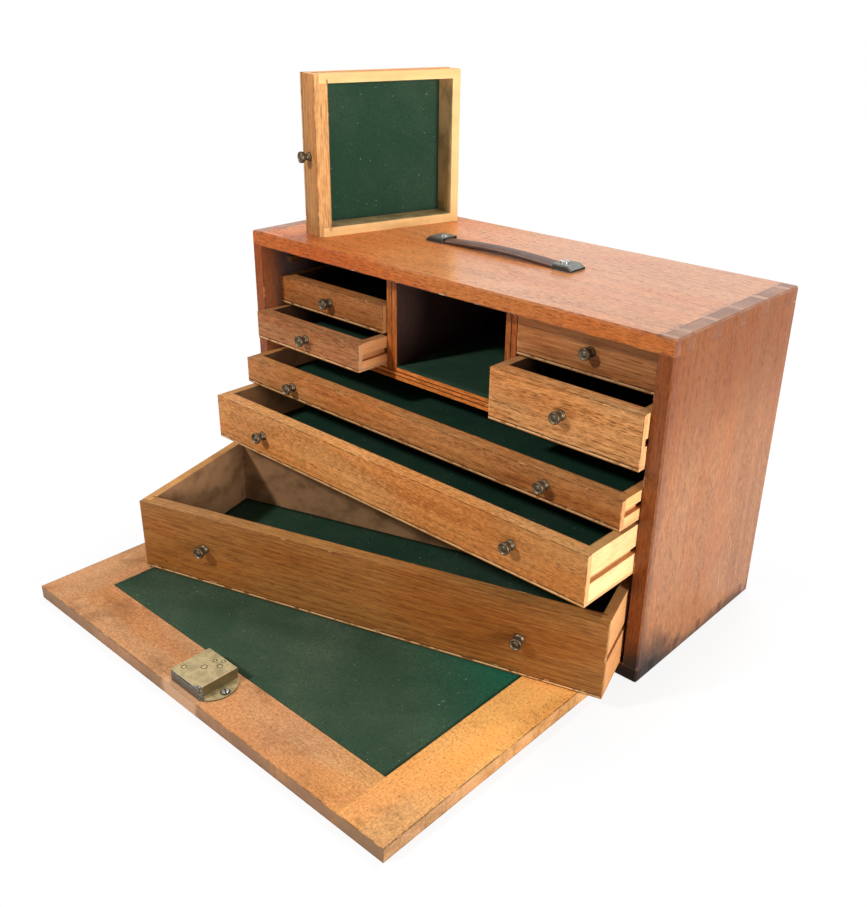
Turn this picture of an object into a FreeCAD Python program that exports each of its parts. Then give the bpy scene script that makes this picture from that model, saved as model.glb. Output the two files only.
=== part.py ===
import FreeCAD, Part
import Sketcher
import math
import os
from FreeCAD import Placement, Rotation, Vector

# Engineers' tool chest: an oak carcass with through dovetailed corners, eight drawers
# on side runners and a framed front panel that lifts out and lies on the floor.
# Millimetres. +Z is up and the front faces -Y. The origin is the middle of the underside.

doc = FreeCAD.newDocument("EngineersToolChest")
sheet = doc.addObject("Spreadsheet::Sheet", "Sizes")


# A length with the formula that ties it to the sheet
class Measure:
    def __init__(self, number, formula=None):
        self.number = float(number)
        self.formula = formula or repr(self.number)

    def joined(self, other, sign, result):
        other = measure(other)
        return Measure(result, f"({self.formula} {sign} {other.formula})")

    def __add__(self, other):
        return self.joined(other, "+", self.number + measure(other).number)

    def __radd__(self, other):
        return measure(other) + self

    def __sub__(self, other):
        return self.joined(other, "-", self.number - measure(other).number)

    def __rsub__(self, other):
        return measure(other) - self

    def __mul__(self, other):
        return self.joined(other, "*", self.number * measure(other).number)

    def __rmul__(self, other):
        return measure(other) * self

    def __truediv__(self, other):
        return self.joined(other, "/", self.number / measure(other).number)

    def __neg__(self):
        return self * -1


def measure(value):
    return value if isinstance(value, Measure) else Measure(value)


class Sizes:
    def __init__(self):
        self.row = 0

    # One heading and its named cells
    def group(self, heading, **cells):
        self.row += 1
        sheet.set(f"A{self.row}", heading)
        for alias, number in cells.items():
            self.row += 1
            sheet.set(f"A{self.row}", alias)
            sheet.set(f"B{self.row}", str(number))
            sheet.setAlias(f"B{self.row}", alias)
            setattr(self, alias, Measure(number, f"Sizes.{alias}"))

    def of(self, piece, what):
        return getattr(self, f"{piece}_{what}")


size = Sizes()
size.group("Chest", chest_wide=508, chest_deep=209, chest_tall=317.5, board=14.5,
           arris=1.6, panel_thick=6, rebate=7, fascia=28)
size.group("Dovetails", half_pin=7, rear_half_pin=4.5, pin_first=23.5, pin_pitch=42,
           pin_narrow=6.4, pin_wide=9.8)
size.group("Shelf and dividers", shelf_low=191.8, shelf_thick=12.8, housing=5,
           left_divider_low=-80.5, left_divider_high=-67, right_divider_low=70,
           right_divider_high=82.5, divider_housing=4, score_wide=1.1, score_deep=0.8)
size.group("Runners", runner_tall=6.4, runner_proud=4.2, runner_front=33.9,
           runner_nose=2.5, runner_gap=0.3)
size.group("Drawers", drawer_deep=170, front_thick=15, side_thick=9, back_thick=9.5,
           ply=3, felt=1.2, felt_gap=0.3, lip=5.6, tongue=3.6, tongue_thick=2.4,
           back_tongue=4.8, groove_tall=7, groove_deep=4.6)
size.group("Knobs", knob_head=5.7, knob_foot=4.8, knob_neck=3.4, knob_long=11,
           knob_thick=3.8, foot_thick=2)
size.group("Handle", cap_long=22, cap_wide=22.5, cap_tall=5.4, cap_sheet=1.1,
           cap_bevel=4.5, cap_drop=3, cap_ease=1, cap_left=-82, cap_right=76.6, cap_screw=4.2,
           handle_back=108.5, strap_wide=19, strap_thick=4, strap_rise=2.6, strap_past=4,
           strap_flat=17, handle_screw=2, screw_head=4.4, screw_rise=1.6, screw_gap=0.1,
           screw_deep=9, screw_end_gap=0.5, slot=1)
size.group("Front panel", lid_left=-246, lid_right=233, lid_front=-290, lid_back=-2.5,
           lid_thick=13, stile=48, rail=50, tenon=8, tenon_low=4.5, tenon_thick=4.2,
           lid_ply=6.4, tongue_in=6, stud_radius=2.1, stud_proud=2.2, stud_deep=6,
           stud_spread=180, stud_gap=0.25)
size.group("Lock", lock_middle=-9, lock_front=-285, lock_square=40, lock_thick=12,
           plate_thick=1.5, bolt_wide=20.2, bolt_thick=2.4, bolt_long=24, bolt_low=9.1,
           bolt_middle=-9.6, bolt_gap=0.2, bolt_hole_deep=8, lug_reach=12.5, lug_screw_out=7.5,
           lug_screw_back=21, lug_hole=1.6, keyhole=2.2, lock_cover=1.2, strike_long=34,
           strike_wide=13, strike_thick=1.2, strike_back=23.2, strike_gap=0.5)

# Each drawer: length along the front, height, height of its groove's lower edge,
# the height of its knobs, and the place of its front and of its underside
size.group("Bottom drawer", bottom_wide=477, bottom_tall=74.4, bottom_groove=33.7,
           bottom_knob_left=39.2, bottom_knob_right=37.9, bottom_x=26, bottom_front=-126,
           bottom_floor=14.8, bottom_turn=17.6, bottom_home=32)
size.group("Middle drawer", middle_wide=477.4, middle_tall=47.5, middle_groove=19.7,
           middle_knob_left=23.3, middle_knob_right=27.7, middle_x=0, middle_front=-71,
           middle_floor=107.3)
size.group("Thin drawer", thin_wide=477.4, thin_tall=27.5, thin_groove=10.5,
           thin_knob_left=13.2, thin_knob_right=16.1, thin_x=0, thin_front=-28.6,
           thin_floor=159.2)
size.group("Left lower drawer", left_lower_wide=157.4, left_lower_tall=29,
           left_lower_groove=10.5, left_lower_knob=16, left_lower_x=-160,
           left_lower_front=-11.3, left_lower_floor=205.3)
size.group("Left upper drawer", left_upper_wide=157.4, left_upper_tall=29,
           left_upper_groove=10.5, left_upper_knob=15.3, left_upper_x=-160.3,
           left_upper_front=22.8, left_upper_floor=238)
size.group("Loose drawer", loose_wide=157.4, loose_tall=30, loose_groove=10.5,
           loose_knob=14.6, loose_x=-176.7, loose_front=26.6, loose_turn=75.15,
           loose_home=268.9)
size.group("Right lower drawer", right_lower_wide=155.4, right_lower_tall=48.8,
           right_lower_groove=20, right_lower_knob=26.3, right_lower_x=161,
           right_lower_front=-8.7, right_lower_floor=205.5)
size.group("Right upper drawer", right_upper_wide=155.4, right_upper_tall=44.6,
           right_upper_groove=18.6, right_upper_knob=21.3, right_upper_x=161,
           right_upper_front=28, right_upper_floor=256.8)
size.group("Knob places", long_knob_out=163.5)

half_wide = size.chest_wide / 2
inside_half = half_wide - size.board
top_low = size.chest_tall - size.board
shelf_top = size.shelf_low + size.shelf_thick
panel_face = size.chest_deep - size.panel_thick
front_of_chest = -size.chest_deep / 2

# Cuts run this far beyond the faces that they open
past = 1

# Sketch planes: the axis that they face and which way their normal runs along it
facing = {"XY_Plane": 1, "YZ_Plane": 1, "XZ_Plane": -1}
nodes = {}


def new_body(label):
    body = doc.addObject("PartDesign::Body", label.replace(" ", "_"))
    body.Label = label
    return body


# Binds a point of a sketch to two formulas
def pin_point(sketch, place, u, v):
    for axis, value in (("DistanceX", u), ("DistanceY", v)):
        index = sketch.addConstraint(Sketcher.Constraint(axis, -1, 1, *place, value.number))
        name = f"{axis[-1].lower()}{index}"
        sketch.renameConstraint(index, name)
        sketch.setExpression(f"Constraints.{name}", value.formula)


# The arc that runs anticlockwise from one point to another through a third
def arc_between(start, middle, end):
    circle = Part.Arc(start, middle, end).toShape().Curve
    angles = [math.atan2(point.y - circle.Center.y, point.x - circle.Center.x)
              for point in (start, end)]
    level = Part.Circle(circle.Center, Vector(0, 0, 1), circle.Radius)
    return Part.ArcOfCircle(level, *angles)


# A closed loop of straight edges. A point given with a third and a fourth value is
# reached by an arc that passes through those two.
def draw_loop(sketch, points):
    points = [[measure(value) for value in point] for point in points]
    first = sketch.GeometryCount
    starts = []
    for index, point in enumerate(points):
        before = points[index - 1]
        start = Vector(before[0].number, before[1].number, 0)
        end = Vector(point[0].number, point[1].number, 0)
        if len(point) == 2:
            sketch.addGeometry(Part.LineSegment(start, end))
            starts.append((1, 2))
            continue
        middle = Vector(point[2].number, point[3].number, 0)
        onward = (end - start).cross(middle - start).z < 0
        sketch.addGeometry(arc_between(start, middle, end) if onward
                           else arc_between(end, middle, start))
        starts.append((1, 2) if onward else (2, 1))
    for index, point in enumerate(points):
        after = (index + 1) % len(points)
        joint = Sketcher.Constraint("Coincident", first + index, starts[index][1],
                                    first + after, starts[after][0])
        sketch.addConstraint(joint)
        pin_point(sketch, (first + index, starts[index][1]), point[0], point[1])
    for index, point in enumerate(points):
        if len(point) == 4:
            middle = Vector(point[2].number, point[3].number, 0)
            mark = sketch.addGeometry(Part.Point(middle), True)
            pin_point(sketch, (mark, 1), point[2], point[3])
            sketch.addConstraint(Sketcher.Constraint("PointOnObject", mark, 1, first + index))


def draw_circle(sketch, u, v, radius):
    u, v, radius = measure(u), measure(v), measure(radius)
    circle = Part.Circle(Vector(u.number, v.number, 0), Vector(0, 0, 1), radius.number)
    index = sketch.addGeometry(circle)
    pin_point(sketch, (index, 3), u, v)
    limit = sketch.addConstraint(Sketcher.Constraint("Radius", index, radius.number))
    sketch.renameConstraint(limit, f"radius{limit}")
    sketch.setExpression(f"Constraints.radius{limit}", radius.formula)


def rectangle(low_u, low_v, high_u, high_v):
    return [(low_u, low_v), (high_u, low_v), (high_u, high_v), (low_u, high_v)]


# A sketch on one of the body's origin planes, moved along that plane's axis
def new_sketch(body, plane, height, loops=(), circles=()):
    sketch = body.newObject("Sketcher::SketchObject", "Sketch")
    role = [item for item in body.Origin.OriginFeatures if item.Role == plane]
    sketch.AttachmentSupport = [(role[0], "")]
    sketch.MapMode = "FlatFace"
    offset = measure(height) * facing[plane]
    sketch.AttachmentOffset = Placement(Vector(0, 0, offset.number), Rotation())
    sketch.setExpression("AttachmentOffset.Base.z", offset.formula)
    for points in loops:
        draw_loop(sketch, points)
    for circle in circles:
        draw_circle(sketch, *circle)
    return sketch


# Material added or removed between two heights along the plane's axis
def extrude(kind, body, plane, low, high, loops=(), circles=()):
    low, high = measure(low), measure(high)
    sketch = new_sketch(body, plane, low, loops, circles)
    feature = body.newObject(f"PartDesign::{kind}", kind)
    feature.Profile = sketch
    span = high - low
    feature.Length = span.number
    feature.setExpression("Length", span.formula)
    against = facing[plane] < 0
    feature.Reversed = against if kind == "Pad" else not against
    return feature


def pad(body, plane, low, high, loops=(), circles=()):
    return extrude("Pad", body, plane, low, high, loops, circles)


def pocket(body, plane, low, high, loops=(), circles=()):
    doc.recompute()
    before = body.Shape.Volume
    feature = extrude("Pocket", body, plane, low, high, loops, circles)
    doc.recompute()
    if body.Shape.Volume > before - 0.1:
        raise ValueError(f"a pocket of {body.Label} cuts nothing")
    return feature


# A solid turned about the body's Y or Z axis
def revolve(body, plane, axis, points):
    sketch = new_sketch(body, plane, 0, [points])
    feature = body.newObject("PartDesign::Revolution", "Revolution")
    feature.Profile = sketch
    feature.ReferenceAxis = (sketch, [axis])
    feature.Angle = 360
    return feature


# Rounds or bevels the edges of a body that a test picks out by their middle
def dress(kind, body, reach, picked):
    doc.recompute()
    base = body.Tip
    edges = [f"Edge{index + 1}" for index, edge in enumerate(base.Shape.Edges)
             if picked(edge.CenterOfMass, edge)]
    feature = body.newObject(f"PartDesign::{kind}", kind)
    feature.Base = (base, edges)
    what = "Radius" if kind == "Fillet" else "Size"
    setattr(feature, what, measure(reach).number)
    feature.setExpression(what, measure(reach).formula)
    return feature


def close_to(value, target):
    return abs(value - measure(target).number) < 0.01


def place(item, x, y, z, rotation=Rotation()):
    x, y, z = measure(x), measure(y), measure(z)
    item.Placement = Placement(Vector(x.number, y.number, z.number), rotation)
    item.setExpression("Placement.Base.x", x.formula)
    item.setExpression("Placement.Base.y", y.formula)
    item.setExpression("Placement.Base.z", z.formula)
    return item


# Names one sub-part. Several solids of one kind form a group.
def node(label, bodies):
    if len(bodies) == 1:
        bodies[0].Label = label
        nodes[label] = bodies[0]
        return
    group = doc.addObject("Part::Compound", label)
    group.Label = label
    group.Links = bodies
    nodes[label] = group


# Carcass. Its bodies share a frame whose Y runs back from the chest's front.

def set_in_chest(body):
    return place(body, 0, front_of_chest, 0)


# Points along one end of a side board, front to back, in and out round the pins
def tail_edge(inner, outer):
    flare = (size.pin_wide - size.pin_narrow) / 4
    rear = size.chest_deep - size.rear_half_pin
    points = [(0, inner), (size.half_pin + flare, inner), (size.half_pin - flare, outer)]
    for index in range(5):
        middle = size.pin_first + index * size.pin_pitch
        points.append((middle - size.pin_narrow / 2, outer))
        points.append((middle - size.pin_wide / 2, inner))
        points.append((middle + size.pin_wide / 2, inner))
        points.append((middle + size.pin_narrow / 2, outer))
    points += [(rear + flare, outer), (rear - flare, inner), (size.chest_deep, inner)]
    return points


# The pins are what the tails leave: a half pin, five pins and a half pin
def pin_loops(inner, outer):
    edge = tail_edge(inner, outer)
    loops = [[(0, outer), edge[0], edge[1], edge[2]]]
    loops += [edge[start:start + 4] for start in range(3, len(edge) - 3, 4)]
    loops.append([edge[-3], edge[-2], edge[-1], (size.chest_deep, outer)])
    return loops


def ease_arrises(body):
    def outer(middle, edge):
        box = edge.BoundBox
        at_end = close_to(abs(middle.x), half_wide) and box.XLength < 0.01
        at_face = close_to(middle.z, size.chest_tall) or close_to(middle.z, 0)
        front_or_back = close_to(middle.y, 0) or close_to(middle.y, size.chest_deep)
        along = box.XLength > 100 and at_face and front_or_back
        return along or (at_end and (at_face or front_or_back))
    dress("Chamfer", body, size.arris, outer)


def end_board(label, inner, outer):
    body = new_body(label)
    low, high = (outer, inner) if inner.number > outer.number else (inner, outer)
    deep = size.chest_deep
    pad(body, "XY_Plane", low, high, [rectangle(-inside_half, 0, inside_half, deep)])
    pad(body, "YZ_Plane", -half_wide, half_wide, pin_loops(inner, outer))
    ease_arrises(body)
    reach = inside_half + size.rebate
    up = 1 if outer.number > inner.number else -1
    edges = sorted_pair(inner - up * past, inner + up * size.rebate)
    rebate = rectangle(panel_face, edges[0], deep + past, edges[1])
    pocket(body, "YZ_Plane", -reach, reach, [rebate])
    return set_in_chest(body)


def top_board():
    body = end_board("top_board", top_low, size.chest_tall)
    roof = top_low + size.divider_housing
    housings = []
    for low, high in divider_spans:
        housings.append(rectangle(low, size.fascia, high, panel_face + past))
    pocket(body, "XY_Plane", top_low - past, roof, housings)
    strike = centred(size.lock_middle, size.strike_back, size.strike_long, size.strike_wide)
    pocket(body, "XY_Plane", top_low - past, top_low + size.strike_thick, [strike])
    bolt_hole = centred(size.bolt_middle, size.strike_back, *bolt_hole_size)
    pocket(body, "XY_Plane", top_low, top_low + size.bolt_hole_deep, [bolt_hole])
    screws = [(x, size.handle_back, size.handle_screw + size.screw_gap) for x in handle_screw_x]
    top = size.chest_tall
    pocket(body, "XY_Plane", top - size.screw_deep, top + past, circles=screws)
    node("top_board", [body])


def bottom_board():
    body = end_board("bottom_board", size.board, measure(0))
    radius = size.stud_radius + size.stud_gap
    holes = [(x, size.lid_thick / 2, radius) for x in stud_x]
    low = size.board - size.stud_proud - size.stud_gap
    pocket(body, "XY_Plane", low, size.board + past, circles=holes)
    node("bottom_board", [body])


def side_board(label, side):
    body = new_body(label)
    inner, outer = sorted_pair(side * inside_half, side * half_wide)
    outline = tail_edge(size.board, 0) + tail_edge(top_low, size.chest_tall)[::-1]
    pad(body, "YZ_Plane", inner, outer, [outline])
    ease_arrises(body)
    low, high = sorted_pair(side * (inside_half - past), side * (inside_half + size.rebate))
    rebate = rectangle(panel_face, size.board - size.rebate, size.chest_deep + past,
                       top_low + size.rebate)
    pocket(body, "YZ_Plane", low, high, [rebate])
    low, high = sorted_pair(side * (inside_half - past), side * (inside_half + size.housing))
    shelf_end = rectangle(size.fascia, size.shelf_low, panel_face + past, shelf_top)
    pocket(body, "YZ_Plane", low, high, [shelf_end])
    node(label, [set_in_chest(body)])


def back_panel():
    body = new_body("back_panel")
    reach = inside_half + size.rebate
    face = rectangle(-reach, size.board - size.rebate, reach, top_low + size.rebate)
    pad(body, "XZ_Plane", panel_face, size.chest_deep, [face])
    node("back_panel", [set_in_chest(body)])


# A notch scored across a front edge, as three points along it
def score(face, middle, upright=False):
    half = size.score_wide / 2
    points = [(face, middle - half), (face + size.score_deep, middle), (face, middle + half)]
    return [(v, u) for u, v in points] if upright else points


# The shelf's front edge is the rail across the chest, scored into three bands
def shelf():
    body = new_body("shelf")
    front = size.fascia
    profile = [(panel_face, shelf_top), (panel_face, size.shelf_low), (front, size.shelf_low)]
    for band in (1, 2):
        profile += score(front, size.shelf_low + band * size.shelf_thick / 3)
    profile.append((front, shelf_top))
    reach = inside_half + size.housing
    pad(body, "YZ_Plane", -reach, reach, [profile])
    housings = []
    for low, high in divider_spans:
        housings.append(rectangle(low, size.fascia, high, panel_face + past))
    pocket(body, "XY_Plane", shelf_top - size.divider_housing, shelf_top + past, housings)
    node("shelf", [set_in_chest(body)])


def dividers():
    bodies = []
    for label, (low, high) in zip(("left divider", "right divider"), divider_spans):
        body = new_body(label)
        front = size.fascia
        profile = [(low, panel_face), (low, front)]
        profile += score(front, (low + high) / 2, upright=True)
        profile += [(high, front), (high, panel_face)]
        foot = shelf_top - size.divider_housing
        pad(body, "XY_Plane", foot, top_low + size.divider_housing, [profile])
        bodies.append(set_in_chest(body))
    node("dividers", bodies)


# Runners: strips on the walls, one for each drawer groove, with a bevelled nose
def runners():
    left_bay = [size.left_lower_floor + size.left_lower_groove,
                size.left_upper_floor + size.left_upper_groove,
                size.loose_home + size.loose_groove]
    right_bay = [size.right_lower_floor + size.right_lower_groove,
                 size.right_upper_floor + size.right_upper_groove]
    full = [size.bottom_home + size.bottom_groove, size.middle_floor + size.middle_groove,
            size.thin_floor + size.thin_groove]
    walls = [("left side", -inside_half, 1, full + left_bay),
             ("left divider", size.left_divider_low, -1, left_bay),
             ("right divider", size.right_divider_high, 1, right_bay),
             ("right side", inside_half, -1, full + right_bay)]
    bodies = []
    for wall, face, out, levels in walls:
        edge = face + out * size.runner_proud
        outline = [(face, panel_face), (face, size.runner_front),
                   (edge, size.runner_front + size.runner_nose), (edge, panel_face)]
        for number, level in enumerate(levels, 1):
            body = new_body(f"{wall} runner {number}")
            low = level + size.runner_gap
            pad(body, "XY_Plane", low, low + size.runner_tall, [outline])
            bodies.append(set_in_chest(body))
    node("runners", bodies)


def compartment_lining():
    body = new_body("compartment_lining")
    gap = size.felt_gap
    floor = rectangle(size.left_divider_high + gap, size.fascia + gap,
                      size.right_divider_low - gap, panel_face - gap)
    pad(body, "XY_Plane", shelf_top, shelf_top + size.felt, [floor])
    node("compartment_lining", [set_in_chest(body)])


def strike_plate():
    body = new_body("strike_plate")
    low, high = top_low, top_low + size.strike_thick
    plate = centred(size.lock_middle, size.strike_back, size.strike_long, size.strike_wide)
    pad(body, "XY_Plane", low, high, [plate])
    slot = centred(size.bolt_middle, size.strike_back, *bolt_hole_size)
    pocket(body, "XY_Plane", low - past, high + past, [slot])
    node("strike_plate", [set_in_chest(body)])


def centred(x, y, wide, deep):
    x, y, wide, deep = measure(x), measure(y), measure(wide), measure(deep)
    return rectangle(x - wide / 2, y - deep / 2, x + wide / 2, y + deep / 2)


def sorted_pair(one, other):
    return (one, other) if one.number < other.number else (other, one)


# Carrying handle on the top board

def handle_strap():
    body = new_body("handle_strap")
    left, right = size.cap_left - size.strap_past, size.cap_right + size.strap_past
    middle = (left + right) / 2
    thick = size.strap_thick
    flat = size.strap_flat
    outline = [(left, thick), (left, 0), (left + flat, 0),
               (right - flat, 0, middle, size.strap_rise), (right, 0), (right, thick),
               (right - flat, thick), (left + flat, thick, middle, size.strap_rise + thick)]
    half = size.strap_wide / 2
    pad(body, "XZ_Plane", -half, half, [outline])
    holes = [(x, 0, size.handle_screw + size.screw_gap) for x in handle_screw_x]
    pocket(body, "XY_Plane", -past, thick + past, circles=holes)
    node("handle_strap", [on_top(body, 0)])


def on_top(body, x, rotation=Rotation(), lift=0):
    return place(body, x, front_of_chest + size.handle_back, size.chest_tall + lift, rotation)


# Pressed caps, closed and bevelled at the outer end, open towards the strap
def handle_caps():
    turned = Rotation(Vector(0, 0, 1), 180)
    bodies = []
    for label, x, rotation in (("left cap", size.cap_left, Rotation()),
                               ("right cap", size.cap_right, turned)):
        body = new_body(label)
        end, top, half = size.cap_long / 2, size.cap_tall, size.cap_wide / 2
        outline = [(-end, 0), (end, 0), (end, top), (size.cap_bevel - end, top),
                   (-end, top - size.cap_drop)]
        pad(body, "XZ_Plane", -half, half, [outline])
        dress("Chamfer", body, size.cap_ease, lambda middle, edge: edge.BoundBox.YLength < 0.01
              and middle.z > 1 and edge.BoundBox.XLength > 1 and abs(middle.y) > 1)
        wall = size.cap_sheet
        inside = rectangle(wall - half, -past, half - wall, top - wall)
        pocket(body, "YZ_Plane", size.cap_bevel - end, end + past, [inside])
        hole = (size.cap_screw, 0, size.handle_screw + size.screw_gap)
        pocket(body, "XY_Plane", top - wall - past, top + past, circles=[hole])
        bodies.append(on_top(body, x, rotation))
    node("handle_caps", bodies)


# Screws through the caps and the strap, with the slot cut across each flat head
def handle_screws():
    bodies = []
    shank, head, rise = size.handle_screw, size.screw_head, size.screw_rise
    length = size.screw_deep + size.cap_tall - size.screw_end_gap
    outline = [(0, -length), (shank, -length), (shank, 0), (head, 0), (head, rise), (0, rise)]
    cut = rectangle(-size.slot / 2, -head - past, size.slot / 2, head + past)
    for number, (x, degrees) in enumerate(zip(handle_screw_x, (35, 70)), 1):
        body = new_body(f"handle screw {number}")
        revolve(body, "XZ_Plane", "V_Axis", outline)
        pocket(body, "XY_Plane", rise / 2, rise + past, [cut])
        turn = Rotation(Vector(0, 0, 1), degrees)
        bodies.append(on_top(body, x, turn, size.cap_tall))
    node("handle_screws", bodies)


# Drawers. Each one's own frame: origin at the middle of the front's lower edge, X along
# the front, Y into the drawer, Z up from the underside of the bottom sheet.

# Half of the front's plan: the end is rebated behind the lip, and a tongue behind the
# rebate locks into the side board
def front_end(half, side):
    first, second = size.lip, size.front_thick - size.tongue_thick
    reach = half - size.side_thick
    points = [(half, 0), (half, first), (reach, first), (reach, second),
              (reach + size.tongue, second), (reach + size.tongue, size.front_thick)]
    return [(side * x, y) for x, y in points]


def drawer_front(label, wide, tall):
    body = new_body(label)
    half = wide / 2
    plan = front_end(half, 1) + front_end(half, -1)[::-1]
    pad(body, "XY_Plane", size.ply, tall, [plan])
    return body


# The side's ends are cut to take the tongues of the front and of the back, and its outer
# face is grooved for the runner
def drawer_side(label, wide, tall, groove, side):
    body = new_body(label)
    outer = wide / 2
    inner = outer - size.side_thick
    deep = size.drawer_deep
    first, second = size.front_thick - size.tongue_thick, deep - size.back_thick
    third = second + size.back_tongue
    plan = [(outer, size.lip), (outer, deep), (inner, deep), (inner, third),
            (inner + size.tongue, third), (inner + size.tongue, second), (inner, second),
            (inner, size.front_thick), (inner + size.tongue, size.front_thick),
            (inner + size.tongue, first), (inner, first), (inner, size.lip)]
    pad(body, "XY_Plane", size.ply, tall, [[(side * x, y) for x, y in plan]])
    low, high = sorted_pair(side * (outer - size.groove_deep), side * (outer + past))
    slot = rectangle(size.lip - past, groove, deep + past, groove + size.groove_tall)
    pocket(body, "YZ_Plane", low, high, [slot])
    return body


def drawer_back(label, wide, tall):
    body = new_body(label)
    inner = wide / 2 - size.side_thick
    deep = size.drawer_deep
    second = deep - size.back_thick
    third = second + size.back_tongue
    half = [(inner + size.tongue, second), (inner + size.tongue, third), (inner, third),
            (inner, deep)]
    plan = half + [(-x, y) for x, y in half[::-1]]
    pad(body, "XY_Plane", size.ply, tall, [plan])
    return body


# A turned knob: a foot, a narrow neck and a thick head
def knob(label):
    body = new_body(label)
    head, foot, neck = size.knob_head, size.knob_foot, size.knob_neck
    front, behind = -size.knob_long, size.knob_thick - size.knob_long
    outline = [(0, 0), (foot, 0), (foot, -size.foot_thick), (neck, -size.foot_thick),
               (neck, behind), (head, behind), (head, front), (0, front)]
    revolve(body, "XY_Plane", "V_Axis", outline)
    return body


def drawer(name, knob_places, x, y, z, rotation=Rotation()):
    wide, tall = size.of(name, "wide"), size.of(name, "tall")
    title = name.replace("_", " ")
    front = drawer_front(f"{title} front", wide, tall)
    boards = []
    for hand, side in (("left", -1), ("right", 1)):
        label = f"{title} drawer {hand} side"
        boards.append(drawer_side(label, wide, tall, size.of(name, "groove"), side))
    boards.append(drawer_back(f"{title} drawer back", wide, tall))
    base = new_body(f"{title} base")
    half, deep = wide / 2, size.drawer_deep
    pad(base, "XY_Plane", 0, size.ply, [rectangle(-half, 0, half, deep)])
    lining = new_body(f"{title} lining")
    edge = half - size.side_thick - size.felt_gap
    felt = rectangle(-edge, size.front_thick + size.felt_gap, edge,
                     deep - size.back_thick - size.felt_gap)
    pad(lining, "XY_Plane", size.ply, size.ply + size.felt, [felt])
    knobs = []
    for number, (knob_x, knob_high) in enumerate(knob_places, 1):
        knobs.append(place(knob(f"{title} knob {number}"), knob_x, 0, knob_high))
    pieces = {"front": [front], "box": boards, "base": [base], "lining": [lining], "knobs": knobs}
    for what, bodies in pieces.items():
        label = f"{name}_drawer_{what}"
        if len(bodies) > 1:
            node(label, bodies)
            place(nodes[label], x, y, z, rotation)
        else:
            offset = bodies[0].Placement.Base
            shift = rotation.multVec(offset)
            node(label, bodies)
            place(bodies[0], x + shift.x, y + shift.y, z + shift.z, rotation)


# Front panel, lying on the floor in front of the chest with its inner face up

def lid_frame():
    low, high = size.tenon_low, size.tenon_low + size.tenon_thick
    left, right = size.lid_left + size.stile, size.lid_right - size.stile
    front, back, thick = size.lid_front, size.lid_back, size.lid_thick
    bodies = []
    for label, outer, inner, side in (("lid left stile", size.lid_left, left, 1),
                                      ("lid right stile", size.lid_right, right, -1)):
        body = new_body(label)
        seat = inner - side * size.tenon
        profile = [(outer, 0), (inner, 0), (inner, low), (seat, low), (seat, high),
                   (inner, high), (inner, thick), (outer, thick)]
        pad(body, "XZ_Plane", front, back, [profile])
        bodies.append(body)
    for label, outer, side in (("lid top rail", front, 1), ("lid bottom rail", back, -1)):
        body = new_body(label)
        inner = outer + side * size.rail
        seat = inner - side * size.tenon
        profile = [(outer, 0), (inner, 0), (inner, low), (seat, low), (seat, high),
                   (inner, high), (inner, thick), (outer, thick)]
        pad(body, "YZ_Plane", left, right, [profile])
        one, other = sorted_pair(outer, seat)
        for start, end in ((left - size.tenon, left), (right, right + size.tenon)):
            pad(body, "YZ_Plane", start, end, [rectangle(one, low, other, high)])
        bodies.append(body)
    keyway = [(size.lock_middle, key_back, size.keyhole)]
    pocket(bodies[2], "XY_Plane", -past, thick + past, circles=keyway)
    studs = [(x, thick / 2, size.stud_radius) for x in stud_x]
    pocket(bodies[3], "XZ_Plane", back - size.stud_deep, back + past, circles=studs)
    node("lid_frame", [set_in_chest(body) for body in bodies])


def lid_panel():
    body = new_body("lid_panel")
    left, right = size.lid_left + size.stile, size.lid_right - size.stile
    front, back = size.lid_front + size.rail, size.lid_back - size.rail
    grow = size.tongue_in
    low, high = size.tenon_low, size.tenon_low + size.tenon_thick
    edge = rectangle(left - grow, front - grow, right + grow, back + grow)
    pad(body, "XY_Plane", low, high, [edge])
    pad(body, "XY_Plane", high, low + size.lid_ply, [rectangle(left, front, right, back)])
    node("lid_panel", [set_in_chest(body)])


def lid_lining():
    body = new_body("lid_lining")
    gap = size.felt_gap
    felt = rectangle(size.lid_left + size.stile + gap, size.lid_front + size.rail + gap,
                     size.lid_right - size.stile - gap, size.lid_back - size.rail - gap)
    face = size.tenon_low + size.lid_ply
    pad(body, "XY_Plane", face, face + size.felt, [felt])
    node("lid_lining", [set_in_chest(body)])


def locating_studs():
    bodies = []
    for number, x in enumerate(stud_x, 1):
        body = new_body(f"locating stud {number}")
        stud = [(x, size.lid_thick / 2, size.stud_radius)]
        back = size.lid_back
        pad(body, "XZ_Plane", back - size.stud_deep, back + size.stud_proud, circles=stud)
        bodies.append(set_in_chest(body))
    node("locating_studs", bodies)


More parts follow.
